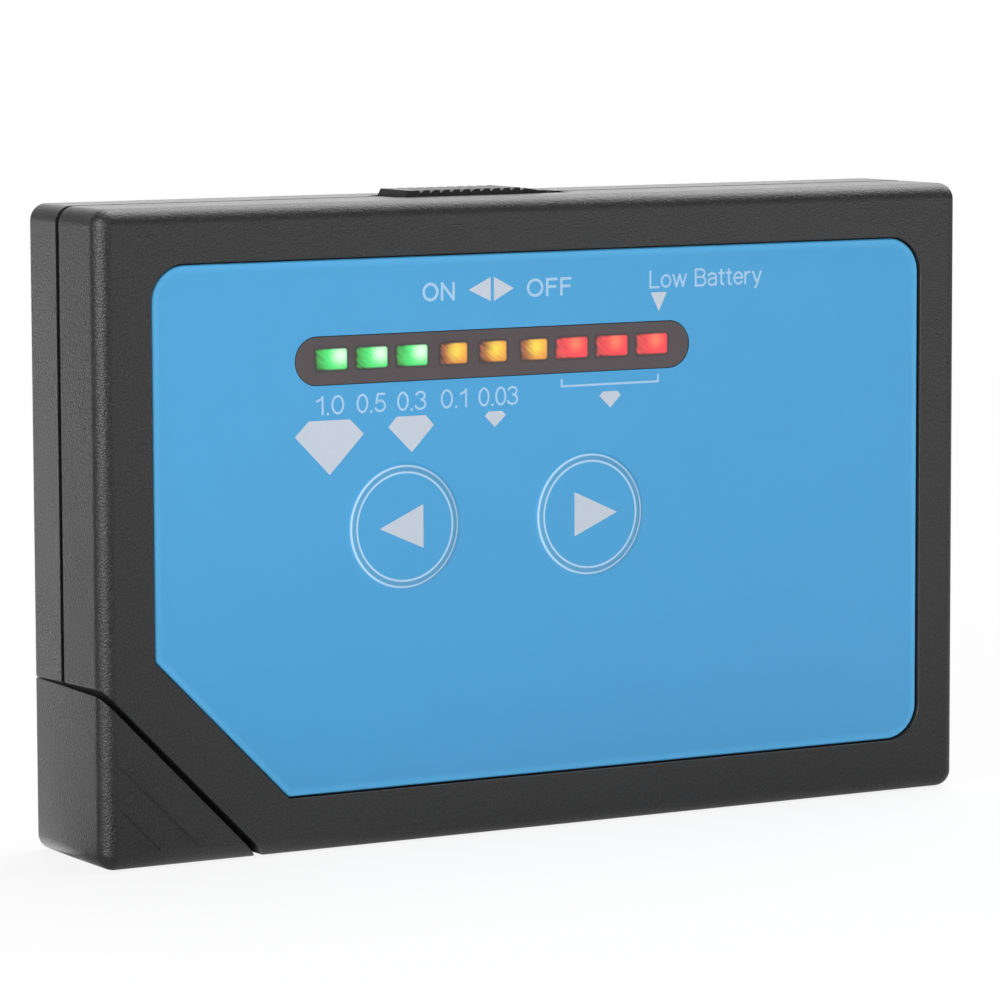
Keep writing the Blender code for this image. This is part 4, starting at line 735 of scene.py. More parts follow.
def film_finish():
    """Printed blue, with two fine pale rings and a duller band at each key, a painted highlight just inside the rim,
    and stray dust.
    """
    material, shader, place = new_finish("printed_film")
    x, _, z = place.split()
    rings, bands = [], []
    for key in key_centres:
        far = (x - key.x).reach(z - key.z)
        rings += [1.0 - abs(far - radius).step(*ring_line) for radius in ring_radii]
        bands.append(1.0 - abs(far - band_radius).step(*band_line))
    ring, band = rings[0].most(*rings[1:]), bands[0].most(*bands[1:])
    # A painted highlight: a paler line just inside the film's rim, standing for the light that its bent cut edge
    # catches
    past_x = abs(x - (panel_left + panel_right) / 2) - ((panel_right - panel_left) / 2 - panel_round)
    past_z = abs(z - (panel_low + panel_high) / 2) - ((panel_high - panel_low) / 2 - panel_round)
    inwards = panel_round + film_grow - past_x.most(0.0).reach(past_z.most(0.0))
    inwards = x.math("MINIMUM", inwards, (x + z - panel_cut) / root_two + film_grow)
    rim = 1.0 - inwards.step(0.0003, 0.0009)
    mottle = place.noise(0.009, 2)
    dust = place.dots(0.0045, 0.00006, 0.2)
    fine = place.noise(0.00016, 1)
    base = mottle.mix(srgb(70, 161, 215), srgb(73, 164, 218))
    # The painted rim highlight, mixed into the film's blue
    base = (rim * 0.9).mix(base, srgb(85, 178, 231))
    base = (band * 0.6).mix(base, srgb(96, 158, 196))
    base = (ring * 0.9).mix(base, srgb(184, 218, 244))
    base = (dust * 0.5).mix(base, srgb(170, 205, 225))
    skin(shader, base, 0.36 + mottle * 0.06 + fine * 0.05, fine, 0.000004)
    return material


film_blue = film_finish()
rim_drop = ((0.00014, 0), (0.00010, 0.00002), (0.00003, 0.00009), (0.00001, 0.00013), (0, 0.00020))
edge_levels = [(film_back, film_grow)] + [(film_front + drop, film_grow - inset) for drop, inset in rim_drop]
film = finished("overlay_film", loft([(y, outline(panel_corners, grow)) for y, grow in edge_levels]))
film_through = (film_front - overrun, film_back + overrun)
carve(
    film,
    "DIFFERENCE",
    loft([(y, outline(strip_corners, 0.00006, 16)) for y in film_through]),
    *rods(key_centres, patch_radius, *film_through, 128),
)
even_normals(film)
paint(film, film_blue)
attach(film, "casing")
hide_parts("overlay_panel")

emboss = [(emboss_top * k / 6, rise) for k in range(7)]
for k in range(1, 9):
    share = k / 8
    fall = rise * (1 - share * share * (3 - 2 * share))
    emboss.append((emboss_top + (emboss_foot - emboss_top) * share, fall))
emboss += [(patch_radius, 0), (patch_radius, -film_thickness), (emboss_foot, -film_thickness)]
emboss += [(emboss_top, rise - film_thickness), (0, rise - film_thickness)]
key_post = ((0, 0), (0.0015, 0), (0.0015, -0.00030), (0.0014, -0.00040), (0, -0.00040))
to_front = (math.pi / 2, 0, 0)
for side, key in zip(key_sides, key_centres):
    on_film, pressed_in = (key.x, film_front, key.z), (key.x, film_front - rise, key.z)
    patch = finished(side + "_key_patch", turned(emboss, on_film, to_front, 128))
    paint(patch, film_blue)
    even_normals(patch)
    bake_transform(patch)
    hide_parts(side + "_key_dome")
    post = finished(side + "_key_post", turned(key_post, (key.x, film_back, key.z), to_front, 48))
    paint(post, film_blue)
    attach(post, side + "_key")


# Window strip: a smoked lens set flush in the overlay, in front of the LED row. Each LED shows through it as a
# soft lit block, brighter towards its right wall because the row is seen from the left.
led_pitch = 0.00431
first_led = middle("green_led_1")


def smoked_finish():
    """Smoked plastic with nine lit blocks, three of each colour, brighter to the right and hatched to the left."""
    material, shader, place = new_finish("smoked_window")
    x, _, z = place.split()
    along = (x - (first_led.x - led_pitch / 2)) / led_pitch
    number = along.math("FLOOR", along)
    is_amber = number.step(2.4, 2.6)
    is_red = number.step(5.4, 5.6)
    lit = number.step(-0.6, -0.4) * (1.0 - number.step(8.4, 8.6))
    # The nine lamps are soldered by hand: the middle ones sit a little to the left
    sway = (number * -0.00007).most(number * 0.00012 - 0.00076)
    u = (along - number - 0.5) * led_pitch - sway
    v = z - first_led.z
    rightwards = (u - is_amber * 0.0003 + is_red * 0.0003).step(-0.0018, 0.0002)
    leant = place.node("ShaderNodeMapping", {"Vector": place, "Rotation": (0, math.radians(52), 0)})
    streak = leant.noise(0.00020, 2, stretch=(1, 1, 0.14)).step(0.32, 0.68)
    # Each window is a rounded oblong; the red ones are a little wider, the amber ones a little narrower
    half_wide, half_tall, round_corner = 0.00166, 0.00098, 0.00028
    narrower, wider = is_amber * 0.00020, is_red * 0.00029
    over_u = abs(u + 0.00005 - narrower + wider) - (half_wide - round_corner) + narrower - wider
    over_v = abs(v - 0.00012) - (half_tall - round_corner)
    frayed = (streak - 0.5) * (1.0 - rightwards) * -0.00012
    off = over_u.most(0.0).reach(over_v.most(0.0)) - round_corner + frayed
    block = (1.0 - off.step(-0.00014 - (1.0 - rightwards) * 0.00016, 0.00007)) * lit
    frame_line = (1.0 - off.step(0.00002, 0.00030)) * lit
    shades = []
    for left_wall, right_wall, glow_u, glow_v, radius, glow_colour in (
        (srgb(68, 176, 74), srgb(84, 252, 132), 0.00090, 0.00045, 0.00138, srgb(234, 255, 238)),
        (srgb(158, 88, 66), srgb(252, 166, 70), 0.00045, 0.00038, 0.00140, srgb(255, 224, 80)),
        (srgb(238, 78, 80), srgb(255, 70, 80), 0.00030, 0.00050, 0.00120, srgb(255, 128, 94)),
    ):
        spot = 1.0 - (u - glow_u).reach(v - glow_v).step(0.0, radius)
        shades.append(spot.mix(rightwards.mix(left_wall, right_wall), glow_colour))
    green, amber, red = shades
    colour = is_red.mix(is_amber.mix(green, amber), red)
    hatch = (1.0 - streak) * (1.0 - rightwards * 0.85) * (0.34 + (is_amber - is_red) * 0.36 - is_red * 0.10)
    fade = 1.0 - v.step(-0.0012, 0.0002)
    power = 1.0 - hatch - fade * (0.17 - is_red * 0.12)
    feed(shader, (power * block).mix((0, 0, 0, 1), colour), "Emission Color")
    shader.inputs["Emission Strength"].default_value = 1.0
    base = place.noise(0.004, 2).mix(srgb(71, 63, 66), srgb(79, 70, 73))
    base = (frame_line * 0.6).mix(base, srgb(30, 24, 24))
    fine = place.noise(0.00016, 1)
    skin(shader, block.mix(base, (0.002, 0.002, 0.002, 1)), 0.33 + fine * 0.06, fine, 0.000003)
    return material


lens_levels = [(strip_high.y, 0), (film_front + 0.00006, 0)]
lens_levels += [(film_front + 0.00002, -0.00002), (film_front + 0.00001, -0.00006)]
lens = finished("smoked_strip", loft([(y, outline(strip_corners, grow, 16)) for y, grow in lens_levels]))
even_normals(lens)
paint(lens, smoked_finish())
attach(lens, "casing")
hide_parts("window_strip")


# Printed marks: pale ink screened on the film, a hundredth of a millimetre proud. Only generic words, a scale's
# numbers and plain signs are there.
ink_proud = 0.00001


def ink_finish(name, dull, clear):
    material, shader, place = new_finish(name)
    mottle = place.noise(0.0008, 2)
    skin(shader, mottle.mix(dull, clear), 0.40 + mottle * 0.1)
    return material


# Thin strokes take less ink than broad signs, and some of the blue comes through them
broad_ink = ink_finish("broad_ink", srgb(194, 204, 216), srgb(202, 212, 224))
thin_ink = ink_finish("thin_ink", srgb(162, 202, 232), srgb(170, 209, 239))


def print_piece(name, bm, ink):
    piece = finished(name, bm)
    paint(piece, ink)
    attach(piece, "casing")


def bend(cx, cz, rx, rz, start, end, steps=14):
    """Points along an ellipse, by angle in degrees from the right."""
    turns = [math.radians(start + (end - start) * k / steps) for k in range(steps + 1)]
    return [(cx + rx * math.cos(t), cz + rz * math.sin(t)) for t in turns]


# Each letter: its width for a height of 1, and its strokes
letter_strokes = {
    "0": (0.54, [bend(0.27, 0.5, 0.27, 0.5, 90, 450, 28)]),
    "1": (0.34, [[(0.30, 0), (0.30, 1)], [(0.30, 0.98), (0.20, 0.85), (0.02, 0.76)]]),
    "3": (0.54, [bend(0.27, 0.77, 0.24, 0.23, 160, -80), bend(0.26, 0.28, 0.28, 0.28, 80, -160)]),
    "5": (0.54, [[(0.50, 1), (0.14, 1)], [(0.14, 1), (0.06, 0.50)], bend(0.26, 0.31, 0.28, 0.31, 135, -155)]),
    ".": (0.14, [[(0.07, -0.02), (0.07, 0.02)]]),
    "O": (0.80, [bend(0.40, 0.5, 0.40, 0.5, 90, 450, 32)]),
    "N": (0.68, [[(0, 0), (0, 1)], [(0, 1), (0.68, 0)], [(0.68, 0), (0.68, 1)]]),
    "F": (0.52, [[(0, 0), (0, 1)], [(0, 1), (0.52, 1)], [(0, 0.53), (0.45, 0.53)]]),
    "L": (0.48, [[(0, 1), (0, 0)], [(0, 0), (0.48, 0)]]),
    "B": (
        0.56,
        [
            [(0, 0), (0, 1)],
            [(0.02, 1), *bend(0.30, 0.765, 0.22, 0.235, 90, -90), (0.06, 0.53)],
            [(0.26, 0.53), *bend(0.32, 0.265, 0.24, 0.265, 90, -90), (0.02, 0)],
        ],
    ),
    "o": (0.50, [bend(0.25, 0.36, 0.25, 0.36, 90, 450, 24)]),
    "w": (0.72, [[(0.18 * k, 0.72 * (1 - k % 2)), (0.18 * (k + 1), 0.72 * (k % 2))] for k in range(4)]),
    "a": (
        0.46,
        [
            [*bend(0.22, 0.53, 0.22, 0.19, 155, 0), (0.44, 0)],
            [(0.44, 0.43), *bend(0.21, 0.20, 0.20, 0.21, 100, 290), (0.44, 0.14)],
        ],
    ),
    "t": (0.26, [[(0.12, 0.93), *bend(0.24, 0.13, 0.12, 0.13, 180, 275)], [(0, 0.72), (0.26, 0.72)]]),
    "e": (0.48, [[(0.02, 0.38), (0.49, 0.38)], bend(0.25, 0.36, 0.24, 0.36, 4, 322, 24)]),
    "r": (0.28, [[(0, 0), (0, 0.72)], bend(0.22, 0.46, 0.21, 0.25, 175, 80)]),
    "y": (0.46, [[(0, 0.72), (0.24, 0)], [(0.46, 0.72), (0.21, -0.14), *bend(0.08, -0.12, 0.11, 0.14, -20, -80, 5)]]),
    " ": (0.22, []),
}


def round_bars(name, lines, radius, fineness):
    """Round bars along lines; each line is its points, and whether it is closed."""
    curve = bpy.data.curves.new(name, "CURVE")
    curve.dimensions = "3D"
    curve.bevel_depth = radius
    curve.bevel_resolution = fineness
    curve.use_fill_caps = True
    for points, closed in lines:
        spline = curve.splines.new("POLY")
        spline.points.add(len(points) - 1)
        for spline_point, point in zip(spline.points, points):
            spline_point.co = (*point, 1)
        spline.use_cyclic_u = closed
    guide = bpy.data.objects.new(name + "_guide", curve)
    bpy.context.scene.collection.objects.link(guide)
    bpy.context.view_layer.update()
    mesh = bpy.data.meshes.new_from_object(guide.evaluated_get(bpy.context.evaluated_depsgraph_get()))
    bpy.data.objects.remove(guide, do_unlink=True)
    bm = bmesh.new()
    bm.from_mesh(mesh)
    bpy.data.meshes.remove(mesh)
    return bm


def print_word(name, words, low_x, high_x, low_z, high_z, stroke, spacing):
    """A word made to fill a box on the panel; each stroke is a flat ribbon with square ends."""
    size = high_z - low_z - stroke
    widths = [letter_strokes[c][0] for c in words]
    wide = (high_x - low_x - stroke) / (sum(widths) + spacing * (len(words) - 1))
    lines = []
    pen = 0.0
    for c, width in zip(words, widths):
        for letter_stroke in letter_strokes[c][1]:
            points = [Vector(((pen + u) * wide, 0, v * size)) for u, v in letter_stroke]
            closed = (points[0] - points[-1]).length < stroke / 100
            if closed:
                points.pop()
            else:
                points[0] += (points[0] - points[1]).normalized() * stroke * 0.4
                points[-1] += (points[-1] - points[-2]).normalized() * stroke * 0.4
            lines.append((points, closed))
        pen += width + spacing
    bm = round_bars(name, lines, stroke / 2, 2)
    bmesh.ops.scale(bm, vec=(1, 2 * ink_proud / stroke, 1), verts=bm.verts)
    bmesh.ops.translate(bm, vec=(low_x + stroke / 2, film_front, low_z + stroke / 2), verts=bm.verts)
    print_piece(name, bm, thin_ink)


def flat_sign(points, y):
    return loft([(y + ink_proud, points), (y - ink_proud, points)])


# Levels of a word's foot and head, its stroke, and the space between its letters
switch_words = (0.05055, 0.0523, 0.00027, 0.28)
low_words = (0.05088, 0.05262, 0.00021, 0.17)
scale_words = (0.0405, 0.0423, 0.00021, 0.15)
print_word("word_on", "ON", -0.01350, -0.01005, *switch_words)
print_word("word_off", "OFF", -0.00229, 0.00262, *switch_words)
print_word("word_low_battery", "Low Battery", 0.01122, 0.02395, *low_words)
for words, centre_x, half in (
    ("1.0", -0.02330, 0.00150),
    ("0.5", -0.01897, 0.00155),
    ("0.3", -0.01470, 0.00155),
    ("0.1", -0.01016, 0.00145),
    ("0.03", -0.00542, 0.00215),
):
    name = "scale_" + words.replace(".", "_")
    print_word(name, words, centre_x - half, centre_x + half, *scale_words)
range_low, range_high, range_z, tick, line = 0.00139, 0.01227, 0.0419, 0.0008, 0.0002
bracket = [(range_low, range_z + tick), (range_low, range_z), (range_high, range_z), (range_high, range_z + tick)]
bracket += [(range_high - line, range_z + tick), (range_high - line, range_z + line)]
bracket += [(range_low + line, range_z + line), (range_low + line, range_z + tick)]
for name, points, ink in (
    ("arrow_on", [(-0.00620, 0.0526), (-0.00620, 0.05035), (-0.00856, 0.05147)], broad_ink),
    ("arrow_off", [(-0.00586, 0.05035), (-0.00586, 0.0526), (-0.00371, 0.05147)], broad_ink),
    ("red_range_bracket", bracket, thin_ink),
    ("arrow_low_battery", [(0.01137, 0.0505), (0.01317, 0.0505), (0.01227, 0.0487)], broad_ink),
):
    print_piece(name, flat_sign(points, film_front), ink)
for name, tip_left, tip_right, tip_z, top_left, top_right, top_z, low_x, low_z in (
    ("large_stone", -0.02697, -0.01978, 0.0386, -0.02551, -0.02124, 0.0400, -0.02337, 0.03496),
    ("medium_stone", -0.01719, -0.01237, 0.03905, -0.01629, -0.01322, 0.0400, -0.01472, 0.03663),
    ("small_stone", -0.00689, -0.00462, 0.0396, -0.00650, -0.00500, 0.0400, -0.00582, 0.03851),
    ("range_stone", 0.00565, 0.00801, 0.0409, 0.00605, 0.00761, 0.0413, 0.00683, 0.03975),
):
    points = [(tip_left, tip_z), (low_x, low_z), (tip_right, tip_z), (top_right, top_z), (top_left, top_z)]
    print_piece(name, flat_sign(points, film_front), broad_ink)
for side, points in (
    ("left", [(-0.01827, 0.02965), (-0.01365, 0.02764), (-0.01365, 0.03172)]),
    ("right", [(0.00275, 0.03191), (0.00275, 0.02771), (0.00745, 0.02978)]),
):
    mark = finished(side + "_key_arrow", flat_sign(points, film_front - rise))
    paint(mark, broad_ink)
    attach(mark, side + "_key")


# Power knob: a black slide with a row of raked ribs, whose top stands just out of the slot. A flange under the top
# wall keeps it in, and a fork below it carries the switch's lever.
knob_low, knob_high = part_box("power_knob")
knob_left, knob_right, knob_top = knob_low.x + 0.0036, knob_high.x - 0.0033, knob_high.z
knob_x = (knob_left + knob_right) / 2
knob_foot = height - 0.0025
end_run, end_fall = 0.0025, 0.0004
rib_count, ribs_from_left, ribs_from_right, rib_depth = 11, 0.00172, 0.00238, 0.00026
rib_pitch = (knob_right - knob_left - ribs_from_left - ribs_from_right) / (rib_count - 1)
flange_top = height - wall - gap
flange_low, flange_side = flange_top - 0.0012, 0.001


def knob_level(x):
    """The knob's top, which falls a little over its right end."""
    return knob_top - end_fall * max(x - (knob_right - end_run), 0) / end_run


def fork_block(half_wide, low, high):
    """A square block about the lever, between two levels above the flange's foot."""
    low_corner = (knob_x - half_wide, parting_y - half_wide, flange_low + low)
    return box_mesh(low_corner, (knob_x + half_wide, parting_y + half_wide, flange_low + high))


side_view = [(knob_left, knob_foot), (knob_left, knob_top - 0.0006), (knob_left + 0.0003, knob_top)]
for index in range(rib_count):
    x = knob_left + ribs_from_left + index * rib_pitch
    side_view.append((x - 0.00022, knob_level(x - 0.00022)))
    side_view += [(x - back, knob_level(x) - rib_depth) for back in (0.00012, 0.00008)]
    side_view.append((x + 0.00034, knob_level(x + 0.00034)))
side_view += [(knob_right, knob_level(knob_right)), (knob_right, knob_foot)]
half = slot_half - gap
knob_bm = loft([(parting_y - half, side_view), (parting_y + half, side_view)])
bevel(knob_bm, [e for e in knob_bm.edges if abs(e.verts[0].co.y - e.verts[1].co.y) < 1e-6], soft_edge, 2)
knob = finished("slide_knob", knob_bm)
flange_half = half + flange_side
flange = box_mesh(
    (knob_low.x, parting_y - flange_half, flange_low), (knob_high.x, parting_y + flange_half, flange_top)
)
carve(knob, "UNION", flange, fork_block(0.0021, -0.0015, 0.0006))
carve(knob, "DIFFERENCE", fork_block(0.0011, -0.0025, 0.0007))
even_normals(knob)
paint(knob, black_finish)
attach(knob, "power_slider")
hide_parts("power_knob")


# Inside of the switch: a tinned slide switch stands on the board, and its black lever sits in the knob's fork.
# The two tact switches under the keys have the same tinned cover, and stems of black resin.
def dress(finish, *names):
    """Gives carried-over CAD pieces a finish."""
    for name in names:
        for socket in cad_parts[name].material_slots:
            socket.material = finish


def metal(name, dark, light, roughness, scratch, brushed=(1, 1, 1)):
    """Bare or plated metal: cloudy colour, fine drawn or tumbled marks."""
    material, shader, place = new_finish(name, roughness, 1.0)
    cloud = place.noise(0.003, 3)
    marks = place.noise(scratch, 2, stretch=brushed)
    skin(shader, cloud.mix(dark, light), roughness - 0.05 + marks * 0.14 + cloud * 0.05, marks, 0.000006)
    return material


def moulded_resin(name, dark, light, roughness):
    """Plain moulded resin: a cloudy colour under a fine matt skin."""
    material, shader, place = new_finish(name, roughness)
    cloud = place.noise(0.002, 3)
    grain = place.noise(0.0002, 2)
    skin(shader, cloud.mix(dark, light), roughness - 0.04 + grain * 0.12, grain, 0.000012)
    return material


tinned_cover = metal("tinned_cover", srgb(176, 178, 182), srgb(206, 208, 211), 0.26, 0.0003, (1, 1, 0.15))
dark_resin = moulded_resin("dark_resin", srgb(28, 28, 30), srgb(38, 38, 40), 0.45)
dress(tinned_cover, "switch_body", "left_tact_switch", "right_tact_switch")
dress(dark_resin, "switch_lever", "left_tact_stem", "right_tact_stem")


# LEDs and baffle: nine flat lamps of tinted resin, three of each colour, in one row. A black resin frame keeps the
# light of each to its own window.
for colour, deep, pale in (
    ("green", srgb(40, 190, 80), srgb(120, 240, 140)),
    ("amber", srgb(225, 140, 30), srgb(250, 190, 80)),
    ("red", srgb(215, 40, 36), srgb(250, 90, 70)),
):
    lamp_resin, shader, place = new_finish(colour + "_lamp_resin")
    cloud = place.noise(0.0012, 3)
    skin(shader, cloud.mix(deep, pale), 0.15 + cloud * 0.12)
    feed(shader, cloud.mix(deep, pale), "Emission Color")
    shader.inputs["Emission Strength"].default_value = 0.35
    dress(lamp_resin, *["%s_led_%d" % (colour, number) for number in (1, 2, 3)])
dress(dark_resin, "light_baffle")


# Main board: glass-fibre laminate under green solder mask, with tinned tracks that show as paler lines, and the
# two chips, the capacitor, the trimmer and the buzzer on its back. The chips' legs are bent tinned strips.
def board_finish():
    """Solder mask over tracks, which run up the board in one part of it and across it in another."""
    material, shader, place = new_finish("solder_mask")
    x, _, z = place.split()
    warp = place.noise(0.009, 0)
    zone = place.noise(0.008, 1)
    weave = place.noise(0.0004, 2)
    upright, level = [
        1.0 - lane.math("PINGPONG", lane, 0.5).step(0.14, 0.20)
        for lane in (
            (x + warp.step(0.35, 0.65) * 0.0024) / 0.0012,
            (z + warp.step(0.45, 0.55) * 0.0024) / 0.0014,
        )
    ]
    tracks = (upright * zone.step(0.50, 0.52)).most(level * (1.0 - zone.step(0.42, 0.44)))
    base = weave.mix(srgb(16, 78, 42), srgb(22, 90, 50))
    base = (tracks * 0.8).mix(base, srgb(44, 128, 74))
    skin(shader, base, 0.30 + weave * 0.15, tracks * 0.8 + weave * 0.2, 0.00002)
    return material


def sleeve_finish(axis, top_y):
    """Shrunk sleeve of the capacitor: dark blue, a pale stripe down one side, bare metal on top."""
    material, shader, place = new_finish("capacitor_sleeve")
    x, y, z = place.split()
    off_x, off_z = x - axis.x, z - axis.z
    top = (1.0 - off_x.reach(off_z).step(0.00215, 0.00222)) * y.step(top_y - 0.0004, top_y - 0.0003)
    stripe = off_x.step(0.0015, 0.0016)
    cloud = place.noise(0.001, 2)
    base = cloud.mix(srgb(26, 34, 78), srgb(34, 44, 92))
    base = stripe.mix(base, srgb(186, 190, 200))
    skin(shader, top.mix(base, srgb(198, 200, 204)), 0.24 + cloud * 0.12)
    feed(shader, top * 0.9, "Metallic")
    return material


dress(board_finish(), "main_board")
dress(dark_resin, "controller_chip", "amplifier_chip", "buzzer")
dress(sleeve_finish(middle("capacitor"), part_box("capacitor")[1].y), "capacitor")
dress(moulded_resin("blue_trimmer_resin", srgb(26, 78, 168), srgb(38, 92, 188), 0.32), "trimmer")
leg_half_width, leg_thickness = 0.0002, 0.00015
leg_foot_y = board_high.y + 0.0001
for chip, count in (("controller_chip", 8), ("amplifier_chip", 4)):
    chip_low, chip_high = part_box(chip)
    mid_y = (chip_low.y + chip_high.y) / 2
    leg_path = ((0.0002, mid_y), (-0.0005, mid_y), (-0.0007, leg_foot_y), (-0.0013, leg_foot_y))
    legs = bmesh.new()
    for index in range(count):
        x = chip_low.x + (chip_high.x - chip_low.x) * (index + 0.5) / count
        for edge_z, way in ((chip_low.z, -1), (chip_high.z, 1)):
            strips = []
            for inward, y in leg_path:
                z = edge_z - way * inward
                ends = [legs.verts.new((x + side, y, z)) for side in (-leg_half_width, leg_half_width)]
                strips.append(legs.edges.new(ends))
            for first, second in zip(strips, strips[1:]):
                bmesh.ops.bridge_loops(legs, edges=[first, second])
    bmesh.ops.recalc_face_normals(legs, faces=legs.faces)
    bmesh.ops.solidify(legs, geom=legs.faces[:], thickness=leg_thickness)
    bmesh.ops.recalc_face_normals(legs, faces=legs.faces)
    leg_piece = finished(chip + "_legs", legs)
    paint(leg_piece, tinned_cover)
    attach(leg_piece, "casing")


# Screws: zinc-plated pan heads with a cross recess, and coarse threads that bite in the front shell's bosses. Two
# smaller ones hold the board.
zinc = metal("zinc_plate", srgb(168, 172, 176), srgb(205, 208, 212), 0.30, 0.0004)
to_back = (-math.pi / 2, 0, 0)


def screw(name, head_height, head_radius, radius, pitch):
    """A pan-head screw, head to the back, fitted to its CAD piece's box."""
    low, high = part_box(name)
    seat = high.y - head_height
    length = seat - low.y
    core = radius * 0.75
    profile = [(0, head_height), (head_radius * 0.62, head_height)]
    for k in range(1, 7):
        turn = math.pi / 2 * k / 6
        profile.append((head_radius * (0.62 + 0.38 * math.sin(turn)), head_height * (0.35 + 0.65 * math.cos(turn))))
    profile += [(head_radius, 0.0002), (head_radius - 0.0001, 0.0001), (core, 0.0001)]
    level = -pitch
    while level > -length + radius + pitch:
        profile += [(core, level), (radius, level - pitch * 0.3), (radius, level - pitch * 0.4)]
        profile.append((core, level - pitch * 0.7))
        level -= pitch
    profile += [(core, radius - length), (0, -length)]
    x, z = (low.x + high.x) / 2, (low.z + high.z) / 2
    piece = finished(name + "_turned", turned(profile, (x, seat, z), to_back, 40))
    arm, width, deep = head_radius * 0.55, head_radius * 0.17, head_height * 0.6
    blades = []
    for across, along in ((arm, width), (width, arm)):
        blade = box_mesh((x - across, high.y - deep, z - along), (x + across, high.y + overrun, z + along))
        foot_verts = [v for v in blade.verts if v.co.y < high.y]
        about_axis = Matrix.Translation((-x, 0, -z))
        bmesh.ops.scale(blade, vec=(0.6, 1, 0.6), space=about_axis, verts=foot_verts)
        blades.append(blade)
    carve(piece, "DIFFERENCE", *blades)
    paint(piece, zinc)
    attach(piece, "casing")
    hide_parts(name)


for name in case_screws:
    screw(name, 0.0014, 0.0018, 0.0010, 0.0006)
for name in board_screws:
    screw(name, 0.0011, 0.0015, 0.0008, 0.0005)


# Battery cells: two AAA cells head to tail, each a steel can in a printed jacket, rolled over at its shoulders.
# The jackets are plain graphite with a copper-coloured end band and a plus and a minus mark.
def jacket_finish(name, axis, nub_z, way):
    """A jacket whose pattern runs from the nub's end; bare metal shows inside the rolled shoulders."""
    material, shader, place = new_finish(name)
    x, y, z = place.split()
    off_x, off_y = x - axis.x, y - axis.y
    far = off_x.reach(off_y)
    down = (z - nub_z) * -way
    bare = 1.0 - far.step(0.00455, 0.00462)
    band = 1.0 - down.step(0.0122, 0.0123)
    line = down.step(0.0122, 0.0123) * (1.0 - down.step(0.0128, 0.0129))
    arm_x, plus_z, minus_z = abs(off_x), abs(down - 0.0072), abs(down - 0.0400)
    bars = [
        (1.0 - along.step(0.00130, 0.00138)) * (1.0 - across.step(0.00026, 0.00034))
        for along, across in ((arm_x, plus_z), (plus_z, arm_x), (arm_x, minus_z))
    ]
    marks = bars[0].most(*bars[1:]) * off_y.step(0.0, 0.0005) * far.step(0.0050, 0.0051)
    cloud = place.noise(0.003, 2)
    scuff = place.noise(0.0005, 3, stretch=(1, 1, 0.2))
    base = cloud.mix(srgb(52, 54, 58), srgb(62, 64, 68))
    base = band.mix(base, srgb(176, 116, 72))
    base = line.most(marks).mix(base, srgb(214, 214, 210))
    skin(shader, bare.mix(base, srgb(192, 193, 196)), 0.24 + scuff * 0.16, scuff, 0.000008)
    feed(shader, bare.most(band * 0.7), "Metallic")
    return material


for side, way in (("left", 1), ("right", -1)):
    cell_low, cell_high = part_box(side + "_cell")
    axis = middle(side + "_cell")
    radius = (cell_high.x - cell_low.x) / 2
    length = cell_high.z - cell_low.z
    tall = length - 0.0010
    profile = [(0, length), (0.0016, length), (0.0018, length - 0.0001), (0.0019, length - 0.0003)]
    profile += [(0.0019, tall + 0.0001), (0.0021, tall - 0.0002), (0.0040, tall - 0.0002), (0.0043, tall - 0.0004)]
    profile += [(0.0045, tall - 0.0001), (0.0047, tall), (0.0050, tall - 0.00008), (radius - 0.00005, tall - 0.0004)]
    profile += [(radius, tall - 0.0007), (radius, 0.0006), (radius - 0.00006, 0.0003), (0.0050, 0.00006)]
    profile += [(0.0047, 0), (0.0045, 0.0001), (0.0043, 0.0003), (0.0040, 0.0002), (0.0036, 0.0001), (0, 0.0001)]
    foot_z, nub_z = (cell_low.z, cell_high.z) if way > 0 else (cell_high.z, cell_low.z)
    stand = (0, 0, 0) if way > 0 else (math.pi, 0, 0)
    cell = finished(side + "_battery_cell", turned(profile, (axis.x, axis.y, foot_z), stand, 96))
    paint(cell, jacket_finish(side + "_cell_jacket", axis, nub_z, way))
    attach(cell, "casing")
    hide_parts(side + "_cell")


# Contacts and leads: tabs and a bridge of nickel-plated strip, and two conical springs of plated wire, each with its
# last turn laid flat. The leads are soft insulated wire, soldered to the tabs' ears and the board.
nickel = metal("nickel_plate", srgb(190, 188, 180), srgb(222, 220, 212), 0.22, 0.0003, (1, 1, 0.2))
dress(nickel, "minus_contact", "plus_contact", "bridge_contact")


def coil(name, node, wire, wide, narrow, turns, foot, along):
    """A spring of plated wire that replaces a CAD piece: from its wide end's middle, out along its axis."""
    foot, along = Vector(foot), Vector(along)
    stand = along.to_track_quat("Z", "Y").to_matrix()
    count = turns * 36
    points = []
    for index in range(count + 1):
        share = index / count
        climb = share * share * (3 - 2 * share) * 0.5 + share * 0.5
        radius = wide + (narrow - wide) * share
        angle = math.tau * turns * share
        points.append(stand @ Vector((radius * math.cos(angle), radius * math.sin(angle), 0)) + foot + along * climb)
    piece = finished(name, round_bars(name, [(points, False)], wire, 3))
    paint(piece, nickel)
    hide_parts(node)
    return piece


spring_wire, spring_end, spring_turns = 0.00025, 0.0018, 4
for node, way in (("minus_spring", 1), ("bridge_spring", -1)):
    low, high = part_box(node)
    wide = (high.x - low.x) / 2 - spring_wire
    reach = high.z - low.z - 2 * spring_wire
    foot = ((low.x + high.x) / 2, (low.y + high.y) / 2, low.z + spring_wire if way > 0 else high.z - spring_wire)
    spring = coil(node + "_coil", node, spring_wire, wide, spring_end, spring_turns, foot, (0, 0, way * reach))
    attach(spring, "casing")
dress(moulded_resin("black_insulation", srgb(22, 22, 24), srgb(32, 32, 34), 0.4), "minus_lead")
dress(moulded_resin("red_insulation", srgb(168, 26, 24), srgb(190, 36, 32), 0.4), "plus_lead")
dress(moulded_resin("enamelled_wire", srgb(176, 124, 58), srgb(200, 150, 80), 0.3), "probe_lead_1", "probe_lead_2")


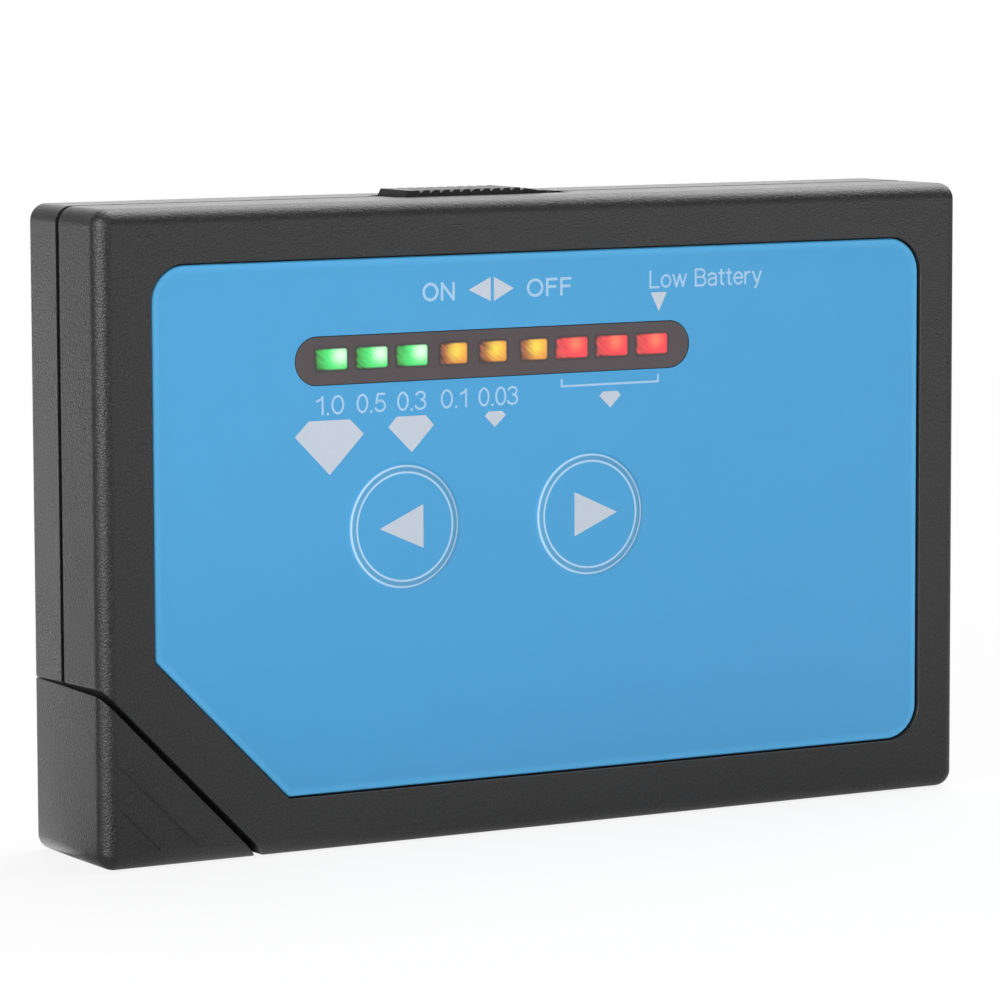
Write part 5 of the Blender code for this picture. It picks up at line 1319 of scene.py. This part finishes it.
# Probe: a turned brass sleeve with a bright conical nose, and a sprung brass pin whose tip stands out of it. An
# ivory holder of heat-resisting resin keeps it apart from the housing.
brass = metal("turned_brass", srgb(202, 164, 92), srgb(226, 190, 118), 0.16, 0.00006)
ivory = moulded_resin("ivory_resin", srgb(214, 208, 190), srgb(226, 220, 204), 0.45)
holder_rear = -0.0082
holder_floor = holder_rear + 0.0016
sleeve_end = holder_floor + gap
sleeve_radius, chamber_radius, chamber_end, nose_bore = 0.0021, 0.0015, 0.0010, 0.00075
sleeve_profile = [(nose_bore, 0.0064), (0.00105, 0.0064), (0.00115, 0.0063), (0.00205, 0.0035)]
sleeve_profile.append((sleeve_radius, 0.00335))
for groove_level in (0.0026, 0.0020, 0.0014):
    sleeve_profile += [(sleeve_radius, groove_level + 0.0001), (0.00198, groove_level)]
    sleeve_profile.append((sleeve_radius, groove_level - 0.0001))
sleeve_profile += [(sleeve_radius, sleeve_end), (chamber_radius, sleeve_end)]
sleeve_profile += [(chamber_radius, chamber_end), (nose_bore, chamber_end)]
sleeve = finished("turned_sleeve", turned(sleeve_profile, seam_point(0), to_corner, 96))
paint(sleeve, brass)
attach(sleeve, "casing")
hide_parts("probe_sleeve")

pin_radius, pin_tail = 0.00045, -0.0085
collar_radius, collar_front = 0.0012, chamber_end - gap
collar_back = collar_front - 0.0009
pin_profile = [(0, 0.0074), (0.00012, 0.00738), (0.00024, 0.00732), (0.00036, 0.00718), (0.00043, 0.0070)]
pin_profile += [(pin_radius, 0.0068), (pin_radius, collar_front), (0.00115, collar_front)]
pin_profile += [(collar_radius, collar_front - 0.00005), (collar_radius, collar_back + 0.00005), (0.00115, collar_back)]
pin_profile += [(pin_radius, collar_back), (pin_radius, pin_tail), (0, pin_tail)]
pin = finished("turned_pin", turned(pin_profile, seam_point(0), to_corner))
paint(pin, brass)
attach(pin, "probe")
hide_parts("probe_pin")

holder_profile = [(0.0024, 0.0006), (0.0033, 0.0006), (0.0034, 0.0005), (0.0034, -0.0023), (0.0043, -0.0023)]
holder_profile += [(0.0044, -0.0024), (0.0044, -0.0035), (0.0043, -0.0036), (0.0030, -0.0036), (0.0030, -0.0081)]
holder_profile += [(0.0029, holder_rear), (nose_bore, holder_rear), (nose_bore, holder_floor), (0.0024, holder_floor)]
holder = finished("moulded_holder", turned(holder_profile, seam_point(0), to_corner, 96))
paint(holder, ivory)
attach(holder, "casing")
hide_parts("probe_holder")

# The spring stands between the holder's floor and the pin's collar
coil_wire, coil_radius = 0.00014, 0.00098
coil_start, coil_end = holder_floor + gap + coil_wire, collar_back - gap - coil_wire
coil_ends = seam_point(coil_start), seam_point(coil_end)
coil_reach = coil_ends[1] - coil_ends[0]
pin_coil = coil("pin_coil", "probe_spring", coil_wire, coil_radius, coil_radius, 6, coil_ends[0], coil_reach)
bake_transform(pin_coil)
dress(dark_resin, "heater_bead")
